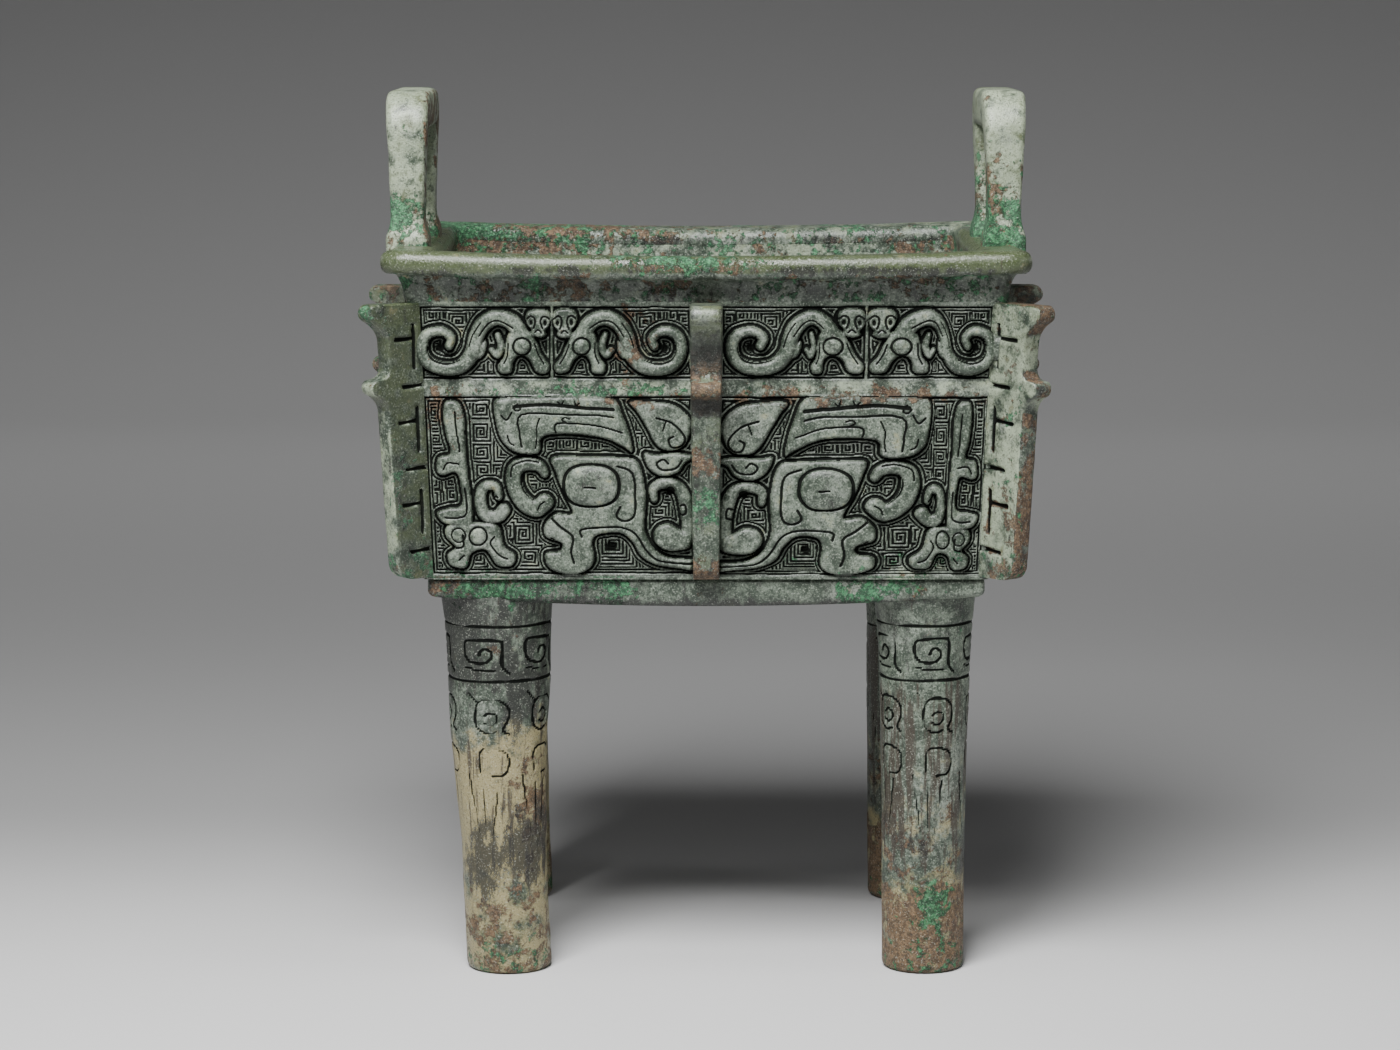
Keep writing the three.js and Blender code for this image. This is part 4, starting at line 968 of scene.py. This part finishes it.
class Graph:
    def __init__(self, tree):
        self.tree = tree
        self.place = tree.nodes.new("ShaderNodeTexCoord").outputs["Object"]

    def link(self, source, socket):
        if isinstance(source, (int, float)):
            socket.default_value = source
        elif isinstance(source, tuple):
            socket.default_value = (*source, 1.0)
        else:
            self.tree.links.new(source, socket)

    def coordinate(self, axis):
        node = self.tree.nodes.new("ShaderNodeSeparateXYZ")
        self.tree.links.new(self.place, node.inputs[0])
        return node.outputs[axis]

    def attribute(self, name):
        node = self.tree.nodes.new("ShaderNodeAttribute")
        node.attribute_name = name
        return node.outputs["Fac"]

    def noise(self, scale, detail=4.0, roughness=0.6, stretch=None):
        node = self.tree.nodes.new("ShaderNodeTexNoise")
        node.inputs["Scale"].default_value = scale
        node.inputs["Detail"].default_value = detail
        node.inputs["Roughness"].default_value = roughness
        source = self.place
        if stretch:
            mapping = self.tree.nodes.new("ShaderNodeMapping")
            mapping.inputs["Scale"].default_value = stretch
            self.tree.links.new(self.place, mapping.inputs["Vector"])
            source = mapping.outputs["Vector"]
        self.tree.links.new(source, node.inputs["Vector"])
        return node.outputs["Fac"]

    def math(self, kind, a, b=0.0, clamp=False):
        node = self.tree.nodes.new("ShaderNodeMath")
        node.operation = kind
        node.use_clamp = clamp
        self.link(a, node.inputs[0])
        self.link(b, node.inputs[1])
        return node.outputs[0]

    def total(self, *terms):
        """The sum of sources, each times its weight."""
        products = [self.math("MULTIPLY", source, weight) for source, weight in terms]
        result = products[0]
        for product in products[1:]:
            result = self.math("ADD", result, product)
        return result

    def ramp(self, value, low, high, start=0.0, end=1.0):
        node = self.tree.nodes.new("ShaderNodeMapRange")
        node.interpolation_type = "SMOOTHSTEP"
        self.link(value, node.inputs["Value"])
        for key, number in (("From Min", low), ("From Max", high), ("To Min", start), ("To Max", end)):
            node.inputs[key].default_value = number
        return node.outputs["Result"]

    def mix(self, share, a, b):
        node = self.tree.nodes.new("ShaderNodeMix")
        node.data_type = "RGBA"
        self.link(share, node.inputs["Factor"])
        self.link(a, node.inputs[6])
        self.link(b, node.inputs[7])
        return node.outputs[2]


SAGE_LIGHT = (0.128, 0.156, 0.120)
SAGE_DARK = (0.024, 0.036, 0.024)
GREY_BLOOM = (0.23, 0.25, 0.22)
PALE = (0.33, 0.385, 0.27)
OLIVE = (0.050, 0.066, 0.026)
MALACHITE = (0.012, 0.062, 0.026)
PALE_GREEN = (0.052, 0.205, 0.088)
EARTH = (0.050, 0.024, 0.010)
TAN = (0.150, 0.088, 0.044)
# Near black for soot and for painted shade.
SOOT_AND_SHADE = (0.008, 0.008, 0.007)
CREAM = (0.26, 0.224, 0.112)
INLAY = (0.003, 0.0035, 0.003)
STREAK = (0.030, 0.020, 0.013)
PIT = (0.022, 0.026, 0.019)
GLINT = (0.48, 0.51, 0.44)
# Near black for painted shade.
PAINTED_SHADE = (0.008, 0.010, 0.007)


def patinated_bronze():
    material, tree, shader = nodes_of("patinated bronze")
    g = Graph(tree)
    broad = g.noise(38, 4, 0.62)
    cloud = g.noise(150, 5, 0.65)
    speck = g.noise(620, 4, 0.7)
    grain = g.noise(1700, 3, 0.6)

    def spread(name, texture, soft, most):
        """Where an attribute and a texture together pass one half, up to a share of most."""
        amount = g.math("SUBTRACT", g.total((g.attribute(name), 1), (texture, 2.2)), 1.1)
        return g.ramp(amount, 0.5 - soft, 0.5 + soft, 0, most)

    mottle = g.total((cloud, 0.42), (speck, 0.36), (grain, 0.22))
    color = g.mix(g.ramp(mottle, 0.42, 0.58), SAGE_DARK, SAGE_LIGHT)
    color = g.mix(g.ramp(g.total((broad, 1), (speck, 0.5)), 0.76, 1.0, 0, 0.5), color, GREY_BLOOM)
    color = g.mix(spread("pale", cloud, 0.3, 0.85), color, PALE)
    color = g.mix(spread("olive", cloud, 0.28, 0.9), color, OLIVE)
    color = g.mix(spread("cream", cloud, 0.25, 0.92), color, CREAM)
    earth = spread("brown", g.noise(210, 6, 0.7), 0.07, 0.9)
    color = g.mix(earth, color, g.mix(g.ramp(speck, 0.42, 0.6), EARTH, TAN))
    crust = spread("green", g.noise(260, 6, 0.72), 0.06, 0.94)
    color = g.mix(crust, color, g.mix(g.ramp(speck, 0.44, 0.6), MALACHITE, PALE_GREEN))
    color = g.mix(spread("streak", g.noise(520, 4, 0.6, (1, 1, 0.07)), 0.12, 0.85), color, STREAK)
    ash = g.math("SUBTRACT", g.total((g.noise(260, 6, 0.75, (1, 1, 0.4)), 1.3), (grain, 0.6)), 0.45)
    # Soot, and painted shade where the patina puts it: the lip's lower half and under the middle flanges'
    # hooks.
    color = g.mix(spread("soot_and_shade", ash, 0.12, 0.86), color, SOOT_AND_SHADE)
    color = g.mix(g.ramp(grain, 0.35, 0.44, 0.72, 0), color, PIT)
    color = g.mix(g.ramp(grain, 0.58, 0.67, 0, 0.34), color, GLINT)
    # Painted shade: where the lightness attribute is low, the colour is pulled most of the way to near black.
    low = g.math("SUBTRACT", 1.0, g.attribute("raised"))
    color = g.mix(g.math("MULTIPLY", low, 0.9), color, g.mix(0.8, color, PAINTED_SHADE))
    inlay = g.ramp(g.total((g.attribute("hollow"), 1), (speck, 0.35)), 0.455, 0.775)
    color = g.mix(g.math("MULTIPLY", inlay, 0.97), color, INLAY)
    tree.links.new(color, shader.inputs["Base Color"])

    rough = g.total((g.ramp(cloud, 0.35, 0.65, 0.36, 0.54), 1), (crust, 0.3), (earth, 0.3), (inlay, 0.4))
    rough = g.math("SUBTRACT", rough, g.math("MULTIPLY", g.attribute("olive"), 0.16), clamp=True)
    tree.links.new(rough, shader.inputs["Roughness"])
    tree.links.new(g.ramp(inlay, 0, 1, 0.5, 0.06), shader.inputs["Specular IOR Level"])
    shader.inputs["Metallic"].default_value = 0.0

    lumps = g.math("MULTIPLY", g.math("ADD", crust, earth), g.math("ADD", 0.5, g.math("MULTIPLY", grain, 1.6)))
    bump = tree.nodes.new("ShaderNodeBump")
    bump.inputs["Strength"].default_value = 0.8
    bump.inputs["Distance"].default_value = 0.0004
    tree.links.new(g.total((grain, 0.45), (speck, 0.55), (lumps, 1)), bump.inputs["Height"])
    tree.links.new(bump.outputs["Normal"], shader.inputs["Normal"])
    return material


def floor_material():
    material, tree, shader = nodes_of("studio floor")
    g = Graph(tree)
    tone = g.mix(g.ramp(g.noise(3, 2, 0.5), 0.3, 0.7), (0.57, 0.57, 0.57), (0.60, 0.60, 0.60))
    # Painted shade: the floor darkens to about half its tone from 0.10 m in front of the vessel's middle to
    # 0.22 m behind it, and the backdrop keeps that darker tone.
    tone = g.mix(g.ramp(g.coordinate(1), -0.10, 0.22), tone, (0.30, 0.30, 0.30))
    tree.links.new(tone, shader.inputs["Base Color"])
    shader.inputs["Roughness"].default_value = 0.7
    return material


# The ding

pieces = []
for side in (-1, 1):
    label = "left" if side < 0 else "right"
    pieces.append(wall_half(f"front_wall_{label}", 0, side, 0.305, 1.12, 1.0, 5 + side))
    pieces.append(wall_half(f"back_wall_{label}", 2, side, 0.6, 1.8, 0.8, 15 + side))
    pieces.append(wall_half(f"right_wall_{label}", 1, side, 0.6, 1.9, 0.8, 25 + side))
    pieces.append(wall_half(f"left_wall_{label}", 3, side, 0.6, 1.9, 0.8, 35 + side))
pieces += [rim_piece(), basin_piece(), plinth_piece()]
front = -math.pi / 2 * LEG_RADIUS
pieces.append(leg_piece("leg_front_left", -69.6, -65, -1, 144, 0.66, 1.0, front - 3.5, LEFT_SWELL))
pieces.append(leg_piece("leg_front_right", 72.3, 73.5, -1, 144, 0.66, 1.0, front + 2, RIGHT_SWELL))
pieces.append(leg_piece("leg_back_left", -73.4, -70, 1, 96, 1.1, 0.7, 3))
pieces.append(leg_piece("leg_back_right", 72.3, 73.3, 1, 96, 1.1, 0.7, 5))
pieces += [handle_piece("handle_left", -1), handle_piece("handle_right", 1)]
# The corner flanges' side faces get painted shade, lighter on the front right one.
for name, x, y, angle, extra, shade in (
        ("front_left", -1, -1, 38, -1.5, FACE_SHADE), ("front_right", 1, -1, 52, 1.5, PALE_FACE_SHADE),
        ("back_left", -1, 1, 45, 0, FACE_SHADE), ("back_right", 1, 1, 45, 0, FACE_SHADE)):
    place = corner_place(x, y, angle)
    pieces.append(flange_piece(f"flange_{name}", place, extra, 7.2, 7.2, -3.6, "flange", shade))
for name, x, y in (("front", 0, -1), ("right", 1, 0), ("back", 0, 1), ("left", -1, 0)):
    pieces.append(flange_piece(f"flange_{name}_middle", middle_place(x, y), 0, 10.6, 8.4, 0, "middle"))

bronze = patinated_bronze()
for piece in pieces:
    piece.data.materials.append(bronze)
    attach(piece, "root")
    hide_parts("square_ding")


# Floor, light and camera

def sweep():
    """A floor that curves up into a wall behind the vessel."""
    profile = [(-3.0, 0.0), (1.6, 0.0)]
    profile += [(1.6 + 0.9 * math.sin(t), 0.9 - 0.9 * math.cos(t)) for t in np.linspace(0, math.pi / 2, 24)[1:]]
    profile += [(2.5, 3.5)]
    mesh = bpy.data.meshes.new("floor")
    verts = [(x, y, z) for y, z in profile for x in (-4.0, 4.0)]
    faces = [(2 * k, 2 * k + 1, 2 * k + 3, 2 * k + 2) for k in range(len(profile) - 1)]
    mesh.from_pydata(verts, [], faces)
    mesh.polygons.foreach_set("use_smooth", np.ones(len(faces), bool))
    floor = bpy.data.objects.new("floor", mesh)
    bpy.context.scene.collection.objects.link(floor)
    mesh.materials.append(floor_material())


def softbox(name, place, target, size, watts, spread=math.pi):
    light = bpy.data.lights.new(name, "AREA")
    light.shape = "RECTANGLE"
    light.size, light.size_y = size
    light.energy = watts
    light.spread = spread
    lamp = bpy.data.objects.new(name, light)
    lamp.location = place
    lamp.rotation_euler = (Vector(target) - Vector(place)).to_track_quat("-Z", "Y").to_euler()
    bpy.context.scene.collection.objects.link(lamp)


sweep()
softbox("key", (-0.17, -0.62, 0.93), (0, 0, 0.12), (0.46, 0.56), 29)
softbox("left", (-1.1, -0.2, 0.6), (0, 0, 0.2), (0.4, 0.7), 0.3, 1.2)
softbox("right", (1.1, -0.2, 0.6), (0, 0, 0.2), (0.4, 0.7), 0.5, 1.2)
softbox("back left", (-0.9, 1.0, 0.36), (0, 0.08, 0.2), (0.3, 0.3), 0.07, 0.9)
softbox("back right", (0.9, 1.0, 0.36), (0, 0.08, 0.2), (0.3, 0.3), 0.07, 0.9)
softbox("backdrop", (0.0, 1.25, 1.7), (0, 1.5, 0.0), (2.6, 0.5), 5.4, 1.3)
world = bpy.data.worlds.new("studio")
world.use_nodes = True
world.node_tree.nodes["Background"].inputs["Color"].default_value = (0.5, 0.5, 0.5, 1)
world.node_tree.nodes["Background"].inputs["Strength"].default_value = 0.012
bpy.context.scene.world = world

camera_data = bpy.data.cameras.new("camera")
camera_data.sensor_width = 36
camera_data.lens = 99.1
camera = bpy.data.objects.new("camera", camera_data)
camera.location = (-0.0020, -1.3197, 0.3254)
camera.rotation_euler = (math.radians(82.111), 0, 0)
bpy.context.scene.collection.objects.link(camera)
bpy.context.scene.camera = camera

bpy.context.view_layer.update()
